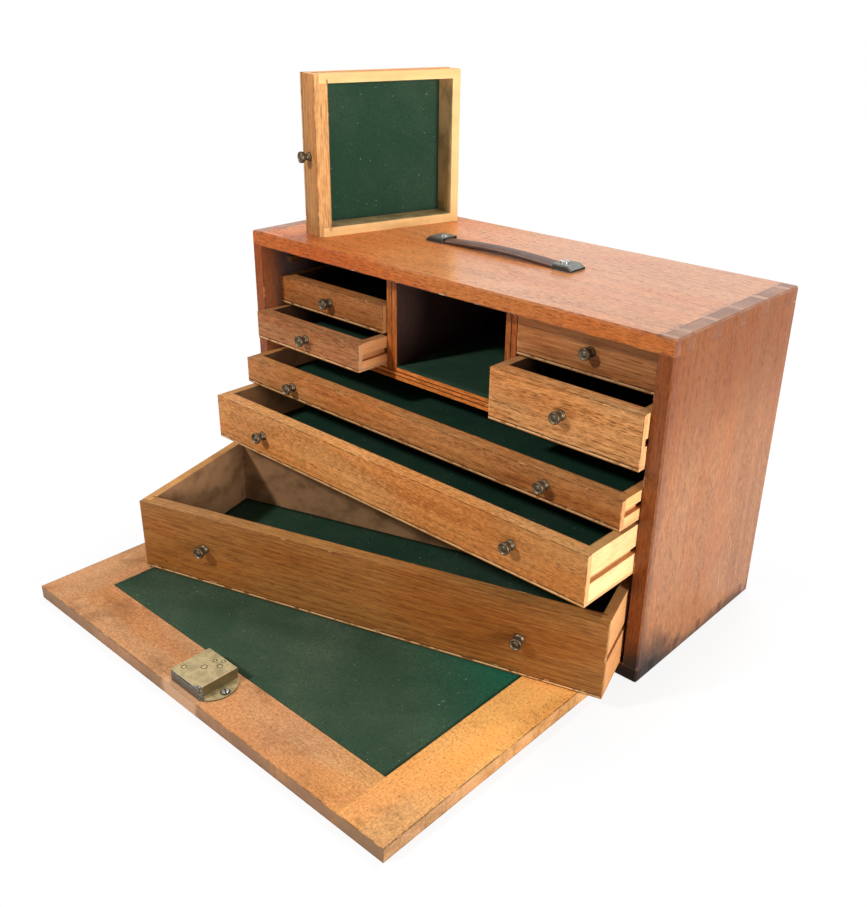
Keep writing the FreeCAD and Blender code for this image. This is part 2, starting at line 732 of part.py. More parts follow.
# The lock: a back plate with two rounded lugs, and a case with the bolt's slot in its end
def lock_case():
    case = new_body("lock case and plate")
    half = size.lock_square / 2
    left, right = size.lock_middle - half, size.lock_middle + half
    front, back = size.lock_front, size.lock_front + size.lock_square
    middle = (front + back) / 2
    base = size.lid_thick
    outline = [(left, front), (right, front), (right, back, right + size.lug_reach, middle),
               (left, back), (left, front, left - size.lug_reach, middle)]
    pad(case, "XY_Plane", base, base + size.plate_thick, [outline[1:]])
    box = rectangle(left, front, right, back)
    pad(case, "XY_Plane", base + size.plate_thick, base + size.lock_thick, [box])
    gap = size.bolt_gap
    wide, low = size.bolt_wide / 2 + gap, base + size.bolt_low
    slot = rectangle(size.bolt_middle - wide, low - gap, size.bolt_middle + wide,
                     low + size.bolt_thick + gap)
    pocket(case, "XZ_Plane", front - past, front + size.bolt_long + gap, [slot])
    keyway = [(size.lock_middle, key_back, size.keyhole)]
    pocket(case, "XY_Plane", base - past, base + size.lock_thick - size.lock_cover, circles=keyway)
    screws = [(x, screw_back, size.lug_hole) for x in lug_hole_x]
    pocket(case, "XY_Plane", base - past, base + size.lock_thick, circles=screws)
    node("lock_case", [set_in_chest(case)])


def lock_bolt():
    body = new_body("lock_bolt")
    half, low = size.bolt_wide / 2, size.lid_thick + size.bolt_low
    section = rectangle(size.bolt_middle - half, low, size.bolt_middle + half,
                        low + size.bolt_thick)
    front = size.lock_front
    pad(body, "XZ_Plane", front, front + size.bolt_long, [section])
    node("lock_bolt", [set_in_chest(body)])


divider_spans = [(size.left_divider_low, size.left_divider_high),
                 (size.right_divider_low, size.right_divider_high)]
handle_screw_x = [size.cap_left + size.cap_screw, size.cap_right - size.cap_screw]
bolt_hole_size = (size.bolt_wide + 2 * size.strike_gap, size.bolt_thick + 2 * size.strike_gap)
lid_middle = (size.lid_left + size.lid_right) / 2
stud_x = [lid_middle - size.stud_spread, lid_middle + size.stud_spread]
key_back = size.lock_front + size.lock_square / 2
screw_back = size.lock_front + size.lug_screw_back
lock_half = size.lock_square / 2 + size.lug_screw_out
lug_hole_x = [size.lock_middle - lock_half, size.lock_middle + lock_half]

top_board()
bottom_board()
side_board("left_side", -1)
side_board("right_side", 1)
back_panel()
shelf()
dividers()
runners()
compartment_lining()
strike_plate()
handle_strap()
handle_caps()
handle_screws()

# A long drawer has a knob near each end and a short one has its knob in the middle
def knobs_of(name):
    if name not in ("bottom", "middle", "thin"):
        return [(measure(0), size.of(name, "knob"))]
    out = size.long_knob_out
    return [(-out, size.of(name, "knob_left")), (out, size.of(name, "knob_right"))]


skew = Rotation(Vector(0, 0, 1), size.bottom_turn.number)
drawer("bottom", knobs_of("bottom"), size.bottom_x, front_of_chest + size.bottom_front,
       size.bottom_floor, skew)
for name in ("middle", "thin", "left_lower", "left_upper", "right_lower", "right_upper"):
    drawer(name, knobs_of(name), size.of(name, "x"), front_of_chest + size.of(name, "front"),
           size.of(name, "floor"))

# The loose drawer stands on its right side on the top board, open towards the right
tip = Rotation(Vector(0, 0, 1), size.loose_turn.number - 90) * Rotation(Vector(0, 1, 0), 90)
turn = math.radians(size.loose_turn.number)
drawer("loose", knobs_of("loose"), size.loose_x - size.loose_tall * math.sin(turn),
       front_of_chest + size.loose_front + size.loose_tall * math.cos(turn),
       size.chest_tall + size.loose_wide / 2, tip)

lid_frame()
lid_panel()
lid_lining()
locating_studs()
lock_case()
lock_bolt()

doc.recompute()
for item in doc.Objects:
    if "Invalid" in item.State or "Error" in item.State:
        raise ValueError(f"{item.Label} failed: {item.State}")
for label, item in nodes.items():
    if item.Shape.isNull() or not item.Shape.isValid():
        raise ValueError(f"{label} has no valid shape")

os.makedirs("parts", exist_ok=True)
for label, item in nodes.items():
    item.Shape.exportStep(f"parts/{label}.step")
print(f"{len(nodes)} sub-parts written")
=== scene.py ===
import bpy
import bmesh
from math import cos, pi, radians, sin
from mathutils import Euler, Matrix, Vector, noise


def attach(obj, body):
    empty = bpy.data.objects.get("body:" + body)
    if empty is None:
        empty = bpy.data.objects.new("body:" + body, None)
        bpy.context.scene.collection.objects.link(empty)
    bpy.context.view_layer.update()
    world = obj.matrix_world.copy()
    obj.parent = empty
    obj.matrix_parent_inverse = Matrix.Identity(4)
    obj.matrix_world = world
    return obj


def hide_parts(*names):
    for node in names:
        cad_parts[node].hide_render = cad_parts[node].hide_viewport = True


# Looks for the oak engineers' tool chest: finishes for every board, felt, leather and
# metal, drawn as shader nodes, and the softer and finer pieces as meshes. Metres.

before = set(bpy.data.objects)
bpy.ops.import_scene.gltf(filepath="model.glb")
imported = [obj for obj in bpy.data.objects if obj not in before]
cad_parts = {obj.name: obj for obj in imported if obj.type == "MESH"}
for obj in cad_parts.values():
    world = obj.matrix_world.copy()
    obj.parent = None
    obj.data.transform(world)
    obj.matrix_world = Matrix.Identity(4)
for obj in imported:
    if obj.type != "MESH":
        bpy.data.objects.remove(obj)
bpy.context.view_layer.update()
mm = 0.001
print("frame loaded:", len(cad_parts), "nodes")


# A socket that can be used in sums, so that shader maths reads as maths
class Value:
    def __init__(self, shader, socket):
        self.shader = shader
        self.socket = socket

    def sum(self, operation, *others):
        vector = any(isinstance(v, Value) and v.socket.type == "VECTOR" for v in (self, *others))
        kind = "VectorMath" if vector else "Math"
        return self.shader.node(kind, {"operation": operation}, *others)

    def __add__(self, other):
        return self.sum("ADD", self, other)

    def __radd__(self, other):
        return self.sum("ADD", other, self)

    def __sub__(self, other):
        return self.sum("SUBTRACT", self, other)

    def __rsub__(self, other):
        return self.sum("SUBTRACT", other, self)

    def __mul__(self, other):
        return self.sum("MULTIPLY", self, other)

    def __rmul__(self, other):
        return self.sum("MULTIPLY", other, self)

    def __truediv__(self, other):
        return self.sum("DIVIDE", self, other)

    def __pow__(self, other):
        return self.sum("POWER", self, other)

    def smallest(self, other):
        return self.sum("MINIMUM", self, other)

    def largest(self, other):
        return self.sum("MAXIMUM", self, other)

    def size(self):
        return self.sum("ABSOLUTE", self)

    def wave(self):
        return self.sum("SINE", self) * 0.5 + 0.5

    def held(self):
        return self.largest(0.0).smallest(1.0)

    # 0 below low and 1 above high, with a soft step between
    def step(self, low, high):
        settings = {"interpolation_type": "SMOOTHSTEP"}
        return self.shader.node("MapRange", settings, self, low, high, 0.0, 1.0)


# One material and its nodes
class Shader:
    def __init__(self, name):
        self.material = bpy.data.materials.new(name)
        self.material.use_nodes = True
        self.nodes = self.material.node_tree.nodes
        self.links = self.material.node_tree.links
        self.surface = self.nodes["Principled BSDF"]
        self.place = self.node("TexCoord", {"output": "Object"})

    # A node by its type, its settings, then its sockets in order or by name
    def node(self, kind, settings, *values, **named):
        node = self.nodes.new("ShaderNode" + kind)
        settings = dict(settings)
        output = settings.pop("output", 0)
        for name, value in settings.items():
            setattr(node, name, value)
        sockets = [s for s in node.inputs if s.enabled]
        for socket, value in zip(sockets, values):
            self.fill(socket, value)
        for name, value in named.items():
            self.fill(node.inputs[name.replace("_", " ")], value)
        outputs = [s for s in node.outputs if s.enabled]
        chosen = outputs[output] if isinstance(output, int) else node.outputs[output]
        return Value(self, chosen)

    def fill(self, socket, value):
        if isinstance(value, Value):
            self.links.new(value.socket, socket)
        elif isinstance(value, (int, float)) and socket.type == "VECTOR":
            socket.default_value = (value, value, value)
        elif socket.type == "RGBA" and len(value) == 3:
            socket.default_value = (*value, 1)
        elif value is not None:
            socket.default_value = value

    # Colour two over colour one, by a mask
    def mix(self, mask, one, two, blend="MIX"):
        settings = {"data_type": "RGBA", "blend_type": blend}
        return self.node("Mix", settings, mask, one, two)

    # A colour multiplied by another
    def tint(self, colour, by):
        return self.mix(1.0, colour, by, "MULTIPLY")

    def noise(self, place, detail=2.0, rough=0.5):
        return self.node("TexNoise", {}, place, 1.0, detail, rough)

    # Noise over x, y and z, each repeated by its own scale
    def cloud(self, place, scale, detail=2.0, rough=0.5):
        scales = scale if isinstance(scale, tuple) else (scale,) * 3
        return self.noise(self.joined(*(axis * s for axis, s in zip(place, scales))), detail, rough)

    def parts(self, vector):
        return [self.node("SeparateXYZ", {"output": i}, vector) for i in range(3)]

    def joined(self, x, y, z):
        return self.node("CombineXYZ", {}, x, y, z)

    def bump(self, height, reach, strength=1.0):
        return self.node("Bump", {}, strength, reach, Height=height)

    def finish(self, **sockets):
        for name, value in sockets.items():
            self.fill(self.surface.inputs[name.replace("_", " ")], value)
        return self.material


# Places of the drawers: the middle of the front's lower edge, the turn of each one's own
# axes (X along the front, Y into the drawer, Z up), its size and its knobs. Fade is painted
# shade that darkens each front towards its right end. Inner is the colour of the box's inside
# faces: painted shade, darker the further the drawer stands in, and painted light in the loose drawer
front = -104.5
rest = (0, 0, 0)
drawers = {
    "bottom": {"at": (26, front - 126, 14.8), "turn": (0, 0, radians(17.6)), "size": (477, 170, 74.4),
               "knobs": ((-163.5, 39.2), (163.5, 37.9)),
               "tone": (0.54, 0.52, 0.45), "fade": 0.97, "pale": (0.72, 0.62, 0.6),
               "inner": (0.36, 0.19, 0.09), "edge": (0.72, 0.36, 0.12),
               "figure": {"strand": (36, 560), "dash": (110, 1250), "fibre": 1.6}},
    "middle": {"at": (0, front - 71, 107.3), "turn": rest, "size": (477.4, 170, 47.5),
               "knobs": ((-163.5, 23.3), (163.5, 27.7)),
               "tone": (1.28, 1.36, 1.52), "fade": 0.72, "pale": (1.05, 1.1, 1.25),
               "inner": (0.18, 0.08, 0.032), "edge": (0.75, 0.4, 0.14),
               "figure": {"strand": (150, 520), "pores": 0.5, "blotch": 1.3}},
    "thin": {"at": (0, front - 28.6, 159.2), "turn": rest, "size": (477.4, 170, 27.5),
             "knobs": ((-163.5, 13.2), (163.5, 16.1)),
             "tone": (0.96, 0.93, 1.0), "fade": 0.77, "pale": (0.95, 0.92, 1.0),
             "inner": (0.12, 0.055, 0.022), "edge": (0.66, 0.3, 0.09)},
    "left_lower": {"at": (-160, front - 11.3, 205.3), "turn": rest, "size": (157.4, 170, 29),
                   "knobs": ((0, 16),),
                   "tone": (0.78, 0.78, 1.06), "fade": 1.0, "pale": (0.8, 0.72, 0.8),
                   "inner": (0.06, 0.026, 0.012), "edge": (0.5, 0.24, 0.09)},
    "left_upper": {"at": (-160.3, front + 22.8, 238), "turn": rest, "size": (157.4, 170, 29),
                   "knobs": ((0, 15.3),),
                   "tone": (0.7, 0.62, 0.62), "fade": 0.95, "pale": 0.8,
                   "inner": (0.03, 0.014, 0.008), "edge": (0.4, 0.18, 0.06)},
    "right_lower": {"at": (161, front - 8.7, 205.5), "turn": rest, "size": (155.4, 170, 48.8),
                    "knobs": ((0, 26.3),),
                    "tone": (0.9, 0.92, 1.1), "fade": 1.0, "pale": (0.95, 0.93, 1.0),
                    "inner": (0.06, 0.028, 0.014), "edge": (0.62, 0.32, 0.12),
                    "figure": {"dash": (140, 1150), "open": 0.52, "pores": 0.75, "ringDepth": 0.3,
                               "wander": 0.014, "light": (0.8, 0.38, 0.115), "dark": (0.42, 0.16, 0.036)}},
    "right_upper": {"at": (161, front + 28, 256.8), "turn": rest, "size": (155.4, 170, 44.6),
                    "knobs": ((0, 21.3),),
                    "tone": (0.87, 0.87, 1.08), "fade": 0.96, "pale": 0.8,
                    "inner": (0.04, 0.02, 0.01), "edge": (0.5, 0.25, 0.1),
                    "figure": {"strand": (18, 560), "dash": (60, 1200), "wander": 0.012}}}
looseTurn = Euler((0, radians(90), radians(75.15 - 90)))
looseUp = looseTurn.to_matrix() @ Vector((0, 0, 1))
looseTall = 30
drawers["loose"] = {"at": (-176.7 - looseTall * looseUp.x, front + 26.6 - looseTall * looseUp.y, 396.2),
                    "turn": tuple(looseTurn), "size": (157.4, 170, looseTall), "knobs": ((0, 14.6),),
                    "tone": (0.95, 1.15, 1.5), "fade": 1.0, "pale": (1.0, 1.1, 1.3), "wornEdge": 0.88,
                    "inner": (0.98, 0.72, 0.36), "edge": (0.97, 0.64, 0.27),
                    "figure": {"strand": (60, 600), "pores": 0.35, "dash": (90, 900)}}
sideThick, frontThick = 9, 15


def drawerPlace(name):
    row = drawers[name]
    return Matrix.Translation(Vector(row["at"]) * mm) @ Euler(row["turn"]).to_matrix().to_4x4()


# Oak, seen along its own grain. Strand and dash are how often the fibres and the open
# pores repeat along and across it.
woods = {
    "carcass": {"light": (0.70, 0.30, 0.115), "dark": (0.42, 0.145, 0.042), "pore": (0.2, 0.06, 0.02),
                "end": (0.34, 0.14, 0.065), "heart": (0.02, -0.05), "ring": 0.0029, "wander": 0.006,
                "ringDepth": 0.12, "fibre": 1.8, "blotch": 0.8, "pores": 0.75, "open": 0.53, "rough": 0.34,
                "strand": (110, 640), "dash": (190, 1050), "coat": 0.3, "shine": 0.15},
    "front": {"light": (0.64, 0.275, 0.078), "dark": (0.34, 0.118, 0.026), "pore": (0.12, 0.038, 0.01),
              "end": (0.6, 0.28, 0.09), "heart": (0.03, -0.04), "ring": 0.0027, "wander": 0.008,
              "ringDepth": 0.2, "fibre": 1.75, "blotch": 1.1, "pores": 0.7, "open": 0.53, "rough": 0.45,
              "strand": (70, 520), "dash": (170, 1250), "coat": 0.05, "shine": 0.1},
    "pale": {"light": (0.97, 0.59, 0.25), "dark": (0.80, 0.37, 0.13), "pore": (0.5, 0.23, 0.07),
             "end": (0.9, 0.52, 0.2), "heart": (0.03, -0.05), "ring": 0.005, "wander": 0.005,
             "ringDepth": 0.3, "fibre": 0.9, "blotch": 1.0, "pores": 0.35, "open": 0.58, "rough": 0.6,
             "strand": (40, 420), "dash": (105, 1000), "coat": 0.0, "shine": 0.1},
    "ply": {"light": (0.85, 0.50, 0.21), "dark": (0.55, 0.26, 0.08), "pore": (0.3, 0.12, 0.04),
            "end": (0.7, 0.38, 0.15), "heart": (0.1, -0.4), "ring": 0.03, "wander": 0.02,
            "ringDepth": 0.4, "fibre": 0.9, "blotch": 0.8, "pores": 0.4, "open": 0.58, "rough": 0.7,
            "strand": (9, 420), "dash": (105, 1000), "coat": 0.0, "shine": 0.1},
    "lid": {"light": (0.74, 0.395, 0.19), "dark": (0.44, 0.2, 0.078), "pore": (0.19, 0.08, 0.028),
            "end": (0.42, 0.24, 0.11), "heart": (0.02, -0.06), "ring": 0.003, "wander": 0.006,
            "ringDepth": 0.08, "fibre": 1.4, "blotch": 1.25, "pores": 0.32, "open": 0.54, "rough": 0.55,
            "strand": (330, 560), "dash": (420, 900), "coat": 0.0, "shine": 0.15}}


# The board's own coordinates: grain runs along one of x, y and z. Where swap is given,
# it is a mask of the boards that lie across.
class Board:
    def __init__(self, shader, at=(0, 0, 0), turn=rest, grain="x", swap=None, seed=0.0):
        self.shader = shader
        place = shader.place
        normal = shader.node("TexCoord", {"output": "Normal"})
        settings = {"vector_type": "TEXTURE"}
        if any(at) or any(turn):
            place = shader.node("Mapping", settings, place, Vector(at) * mm, turn)
            normal = shader.node("Mapping", settings, normal, rest, turn)
        self.place = self.x, self.y, self.z = shader.parts(place)
        self.normal = shader.parts(normal)
        order = {"x": (0, 2, 1), "y": (1, 2, 0), "z": (2, 1, 0)}  # grain, width, thickness
        axes = [self.place[i] for i in order[grain]]
        along = self.normal[order[grain][0]].size()
        if swap:
            mask = swap(self)
            turned = order["y" if grain == "x" else "x"]
            other = [self.place[i] for i in turned]
            axes = [one + (two - one) * mask for one, two in zip(axes, other)]
            across = self.normal[turned[0]].size()
            along = along + (across - along) * mask
            axes[0] = axes[0] + mask * 0.37  # so that the two boards' figures differ
        self.grain, self.wide, self.deep = axes
        self.endFace = along.step(0.6, 0.8)
        self.seed = seed

    # Masks of the faces that look forwards, upwards or sideways
    def frontFace(self):
        return (0.0 - self.normal[1]).step(0.5, 0.8)

    def topFace(self, low=0.5, high=0.8):
        return self.normal[2].step(low, high)

    def sideFace(self):
        return self.normal[0].size().step(0.5, 0.8)

    # A place for noise that repeats so often along and across the grain
    def scaled(self, along, across, shift=0.0):
        move = self.seed * 3.7 + shift
        return self.shader.joined(self.grain * along + move, self.wide * across + move * 1.7,
                                  self.deep * across + move * 0.6)


def tinted(colour, tone):
    return tuple(c * t for c, t in zip(colour, tone if isinstance(tone, tuple) else (tone,) * 3))


# The finish of one oak board: rings round the tree's heart, fibres, open pores and slow
# changes of tone. Its stain function may also paint light and shade, and may change its colour, its roughness
# and its coat.
def oak(look, board, tone=1.0, stainsAndPaintedLight=None):
    shader = board.shader
    wander = (shader.noise(board.scaled(2.6, 12), 2.0) - 0.5) * look["wander"]
    board.wide = board.wide + wander
    across = board.wide - look["heart"][0] + wander * 2.0
    depth = board.deep - look["heart"][1] + wander
    radius = (across * across + depth * depth) ** 0.5
    ring = (radius * (2 * pi / look["ring"]) + board.grain * 2.5 + board.seed).wave()
    fibre = shader.noise(board.scaled(*look["strand"], 5.0), 4.0, 0.7)
    blotch = shader.noise(board.scaled(5, 18, 11.0), 3.0, 0.6)
    hue = shader.noise(board.scaled(7, 26, 13.0), 2.0, 0.5)
    fleck = shader.noise(board.scaled(*look["dash"], 17.0), 1.0, 0.6)
    pores = fleck.step(look["open"], look["open"] + 0.12) * (ring * 0.6 + 0.4) * look["pores"]
    shade = (ring ** 1.6 - 0.4) * look["ringDepth"] + (fibre - 0.5) * look["fibre"] * 1.7 \
        + (blotch - 0.5) * look["blotch"] * 1.4
    light = tinted(look["light"], tone)
    dark = tinted(look["dark"], tone)
    colour = shader.mix((shade + 0.42).held(), light, dark)
    warmer = shader.tint(colour, (1.04, 0.88, 0.72))
    colour = shader.mix(hue.step(0.4, 0.65), colour, warmer)
    colour = shader.mix(pores, colour, look["pore"])
    speckle = shader.noise(board.scaled(40, 1400, 23.0), 2.0)
    endColour = shader.mix(speckle.step(0.4, 0.7) * 0.4, tinted(look["end"], tone), look["pore"])
    colour = shader.mix(board.endFace, colour, endColour)
    rough = (look["rough"] + pores * 0.25 + (blotch - 0.5) * 0.25).held()
    coat = look["coat"]
    if stainsAndPaintedLight:
        colour, rough, coat = stainsAndPaintedLight(board, colour, rough, coat)
    height = fibre * 0.35 - pores
    normal = shader.bump(height, 0.0003, 0.5)
    return shader.finish(Base_Color=colour, Roughness=rough, Normal=normal,
                         Specular_IOR_Level=look["shine"], Coat_Weight=coat, Coat_Roughness=0.22)


# Painted shade: colour that falls away to near black with the distance into a box
deepShade = {"colour": (0.03, 0.027, 0.03), "share": 0.9}


def paintedDepthShade(board, inside, colour, start, end):
    depth = inside * board.y.step(start * mm, end * mm)
    return board.shader.mix(depth * deepShade["share"], colour, deepShade["colour"])


# Dark dirt near a board's edges, worn through to lighter wood here and there. Where the worn colour is much
# paler than the wood, the light spots are painted highlights along the edges as well as wear.
def edgeWearAndGlints(board, centre, half, colour, dirt, worn, reach=0.0016):
    shader = board.shader
    gaps = [(h * mm - (p - c * mm).size()) for p, c, h in zip(board.place, centre, half)]
    low, high = gaps[0].smallest(gaps[1]), gaps[0].largest(gaps[1])
    gap = low.largest(high.smallest(gaps[2]))
    patch = shader.cloud(board.place, 60, 3.0, 0.6)
    near = 1.0 - (gap + (patch - 0.5) * reach).step(0.0, reach)
    colour = shader.mix(near * patch.step(0.35, 0.6), colour, dirt)
    return shader.mix(near * patch.step(0.58, 0.68), colour, worn)


def paint(node, material):
    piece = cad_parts[node]
    piece.data.materials.clear()
    piece.data.materials.append(material)


def soften(node, width, segments=2):
    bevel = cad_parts[node].modifiers.new("eased", "BEVEL")
    bevel.width = width * mm
    bevel.segments = segments
    bevel.limit_method = "ANGLE"
    bevel.angle_limit = radians(35)
    bevel.harden_normals = True


# Carcass
chest = {"wide": 508, "deep": 209, "tall": 317.5, "board": 14.5}
shelf = {"darkFrom": 203.6, "darkAt": 204.2, "scored": (196.07, 200.33)}
halfWide, halfDeep = chest["wide"] / 2, chest["deep"] / 2


# Dirt and wear of the carcass, and what age and painted shade multiply its wood by
carcassStains = {"foot": (0.018, 0.012, 0.01), "dash": (0.24, 0.085, 0.035), "line": (0.26, 0.095, 0.04),
                 "arris": (0.10, 0.038, 0.022), "knot": (0.12, 0.05, 0.03), "speck": (0.1, 0.04, 0.02),
                 "joint": (0.09, 0.035, 0.022), "score": (0.07, 0.02, 0.008), "rim": (0.1, 0.035, 0.02),
                 "endGrain": ((0.42, 0.2, 0.115), (0.27, 0.12, 0.065)),
                 "tailGrain": ((0.27, 0.1, 0.042), (0.16, 0.055, 0.03))}
carcassAgeAndShade = {"sideFront": (0.5, 0.29, 0.12), "sideTopShade": (0.63, 0.47, 0.29), "topLeftShade": (0.98, 0.78, 0.58),
              "topFront": (0.68, 0.46, 0.22), "shelf": (1.0, 0.75, 0.55), "divider": (1.0, 0.72, 0.5),
              "backOutside": (0.62, 0.44, 0.34), "backInsideShade": (0.04, 0.036, 0.045)}


# Oil and dirt that have blackened the foot, worst at the front corner
def footStain(board, colour):
    shader = board.shader
    smudge = shader.cloud(board.place, 34, 4.0, 0.66)
    nearFront = 1.0 - (board.y + halfDeep * mm + (smudge - 0.5) * 0.06).step(0.0, 0.1)
    reach = nearFront * 0.034 + 0.015
    low = 1.0 - ((board.z + (smudge - 0.5) * 0.034) / reach).step(0.2, 1.2)
    return shader.mix((low * (nearFront * 0.35 + 0.7)).held(), colour, carcassStains["foot"])


# The front edges are darker and redder, and the side's upper part is painted shade, darker than
# its lower part. The varnish has bloomed on its lower part.
def sideStainsAndShade(board, colour, rough, coat):
    shader = board.shader
    facing = board.frontFace()
    ends = board.topFace()
    outside = 1.0 - facing
    colour = shader.mix(facing * 0.85, colour, shader.tint(colour, carcassAgeAndShade["sideFront"]))
    smudge = shader.cloud(board.place, (30, 30, 22), 4.0, 0.62)
    # Painted shade: the outside of the side is darker towards its top
    aged = (board.z + (smudge - 0.5) * 0.06).step(0.17, 0.29) * outside
    colour = shader.mix(aged, colour, shader.tint(colour, carcassAgeAndShade["sideTopShade"]))
    dashes = shader.cloud(board.place, (900, 800, 130), 1.0, 0.6)
    dashes = dashes.step(0.48, 0.6) * smudge.step(0.25, 0.55)
    colour = shader.mix(dashes * outside * 0.72, colour, carcassStains["dash"])
    drawnOut = shader.joined(board.x * 300, board.y * 300, board.z * 5 + smudge * 0.5)
    lines = shader.noise(drawnOut, 2.0, 0.6)
    lines = lines.step(0.52, 0.6) * (board.y + (smudge - 0.5) * 0.03).step(0.02, 0.05)
    colour = shader.mix(lines * outside * 0.75, colour, carcassStains["line"])
    colour = footStain(board, colour)
    arris = 1.0 - (board.y + halfDeep * mm + (smudge - 0.5) * 0.022).step(0.0, 0.015)
    lower = 1.0 - board.z.step(0.05, 0.24)
    colour = shader.mix(arris * outside * (lower * 0.4 + 0.35), colour, carcassStains["arris"])
    knots = shader.noise(shader.joined(board.x * 75 + 3.0, board.y * 75, board.z * 60), 1.0)
    colour = shader.mix(knots.step(0.71, 0.75) * lower * 0.6, colour, carcassStains["knot"])
    strip = shader.mix(smudge.step(0.35, 0.7), *carcassStains["endGrain"])
    colour = shader.mix(ends * 0.85, colour, strip)
    # Painted shade on the inner face, darker with the distance behind the front
    innerFace = (halfWide - chest["board"]) * mm
    inner = 1.0 - board.x.size().step(innerFace, innerFace + 0.5 * mm)
    colour = paintedDepthShade(board, inner, colour, front - 6, front + 34)
    bloom = (1.0 - board.z.step(0.15, 0.3)) * 0.3 + ends * 0.3 + 0.02
    return colour, rough, bloom


# The varnish shines towards the right and has gone flat towards the left. The left part's colour is also
# painted shade, darker and more orange where less reflection falls.
def topStainsAndShade(board, colour, rough, coat):
    shader = board.shader
    facing = board.frontFace()
    upwards = board.topFace()
    # Painted shade: the left part of the board is darker and more orange, where less reflection falls
    flat = 1.0 - (board.x + board.y * 0.5).step(-0.24, 0.0)
    colour = shader.mix(flat, colour, shader.tint(colour, carcassAgeAndShade["topLeftShade"]))
    colour = shader.mix(facing * 0.8, colour, shader.tint(colour, carcassAgeAndShade["topFront"]))
    spots = shader.noise(shader.joined(board.x * 140, board.y * 140, 2.0), 1.0)
    marks = spots.step(0.76, 0.80) * shader.noise(board.scaled(9, 9, 31.0)).step(0.5, 0.6)
    colour = shader.mix(marks * 0.5, colour, carcassStains["speck"])
    fromEnd = halfWide * mm - chest["board"] * mm
    atEnd = (board.x.size() + (spots - 0.5) * 0.004).step(fromEnd - 2 * mm, fromEnd + mm)
    grime = shader.cloud(board.place, (90, 45, 45), 3.0, 0.7)
    strip = shader.mix(grime.step(0.35, 0.7), *carcassStains["endGrain"])
    colour = shader.mix(atEnd * upwards * 0.65, colour, strip)
    beside = (board.x.size() - (halfWide - 15) * mm).size()
    frontward = 1.0 - board.y.step(-0.1, 0.03)
    joint = (1.0 - beside.step(0.001, 0.006)) * grime.step(0.48, 0.6)
    colour = shader.mix(joint * (frontward * 0.5 + 0.25) * upwards, colour, carcassStains["joint"])
    side = board.sideFace()
    lightTail, darkTail = carcassStains["tailGrain"]
    tails = shader.mix(side * 0.85, colour, lightTail)
    colour = shader.mix(side * grime.step(0.3, 0.6) * 0.7, tails, darkTail)
    colour = footStain(board, colour)
    # Painted shade on the top board's underside, darker with the distance behind the front
    underFace = (chest["tall"] - chest["board"]) * mm
    under = 1.0 - board.z.step(underFace, underFace + 0.5 * mm)
    colour = paintedDepthShade(board, under * board.z.step(0.1, 0.11), colour, front, front + 50)
    shine = board.x.step(-0.2, 0.12) * 0.75 * upwards + 0.02
    return colour, rough, shine


# The scored lines along the shelf's edge are full of dirt. The shelf's top inside the compartment is painted
# shade, darker with depth.
def shelfStainsAndShade(board, colour, rough, coat):
    colour = board.shader.tint(colour, carcassAgeAndShade["shelf"])
    for line in shelf["scored"]:
        near = 1.0 - (board.z - line * mm).size().step(0.0004, 0.0009)
        colour = board.shader.mix(near * 0.8, colour, carcassStains["score"])
    # Painted shade on the shelf's top, inside the compartment
    inside = board.z.step(shelf["darkFrom"] * mm, shelf["darkAt"] * mm)
    return paintedDepthShade(board, inside, colour, front + 14, front + 50), rough, coat


def dividerStainsAndShade(board, colour, rough, coat):
    colour = board.shader.tint(colour, carcassAgeAndShade["divider"])
    # Painted shade on the dividers' side faces, darker with the distance behind the front
    return paintedDepthShade(board, board.sideFace(), colour, front + 10, front + 30), rough, coat


# The panel's outside is plain aged wood; its inside is painted near black, as shade deep in the bays
def backStainsAndShade(board, colour, rough, coat):
    shader = board.shader
    inside = (0.0 - board.normal[1]).step(0.2, 0.5)
    aged = shader.tint(colour, carcassAgeAndShade["backOutside"])
    return shader.mix(inside, aged, shader.tint(colour, carcassAgeAndShade["backInsideShade"])), rough, coat


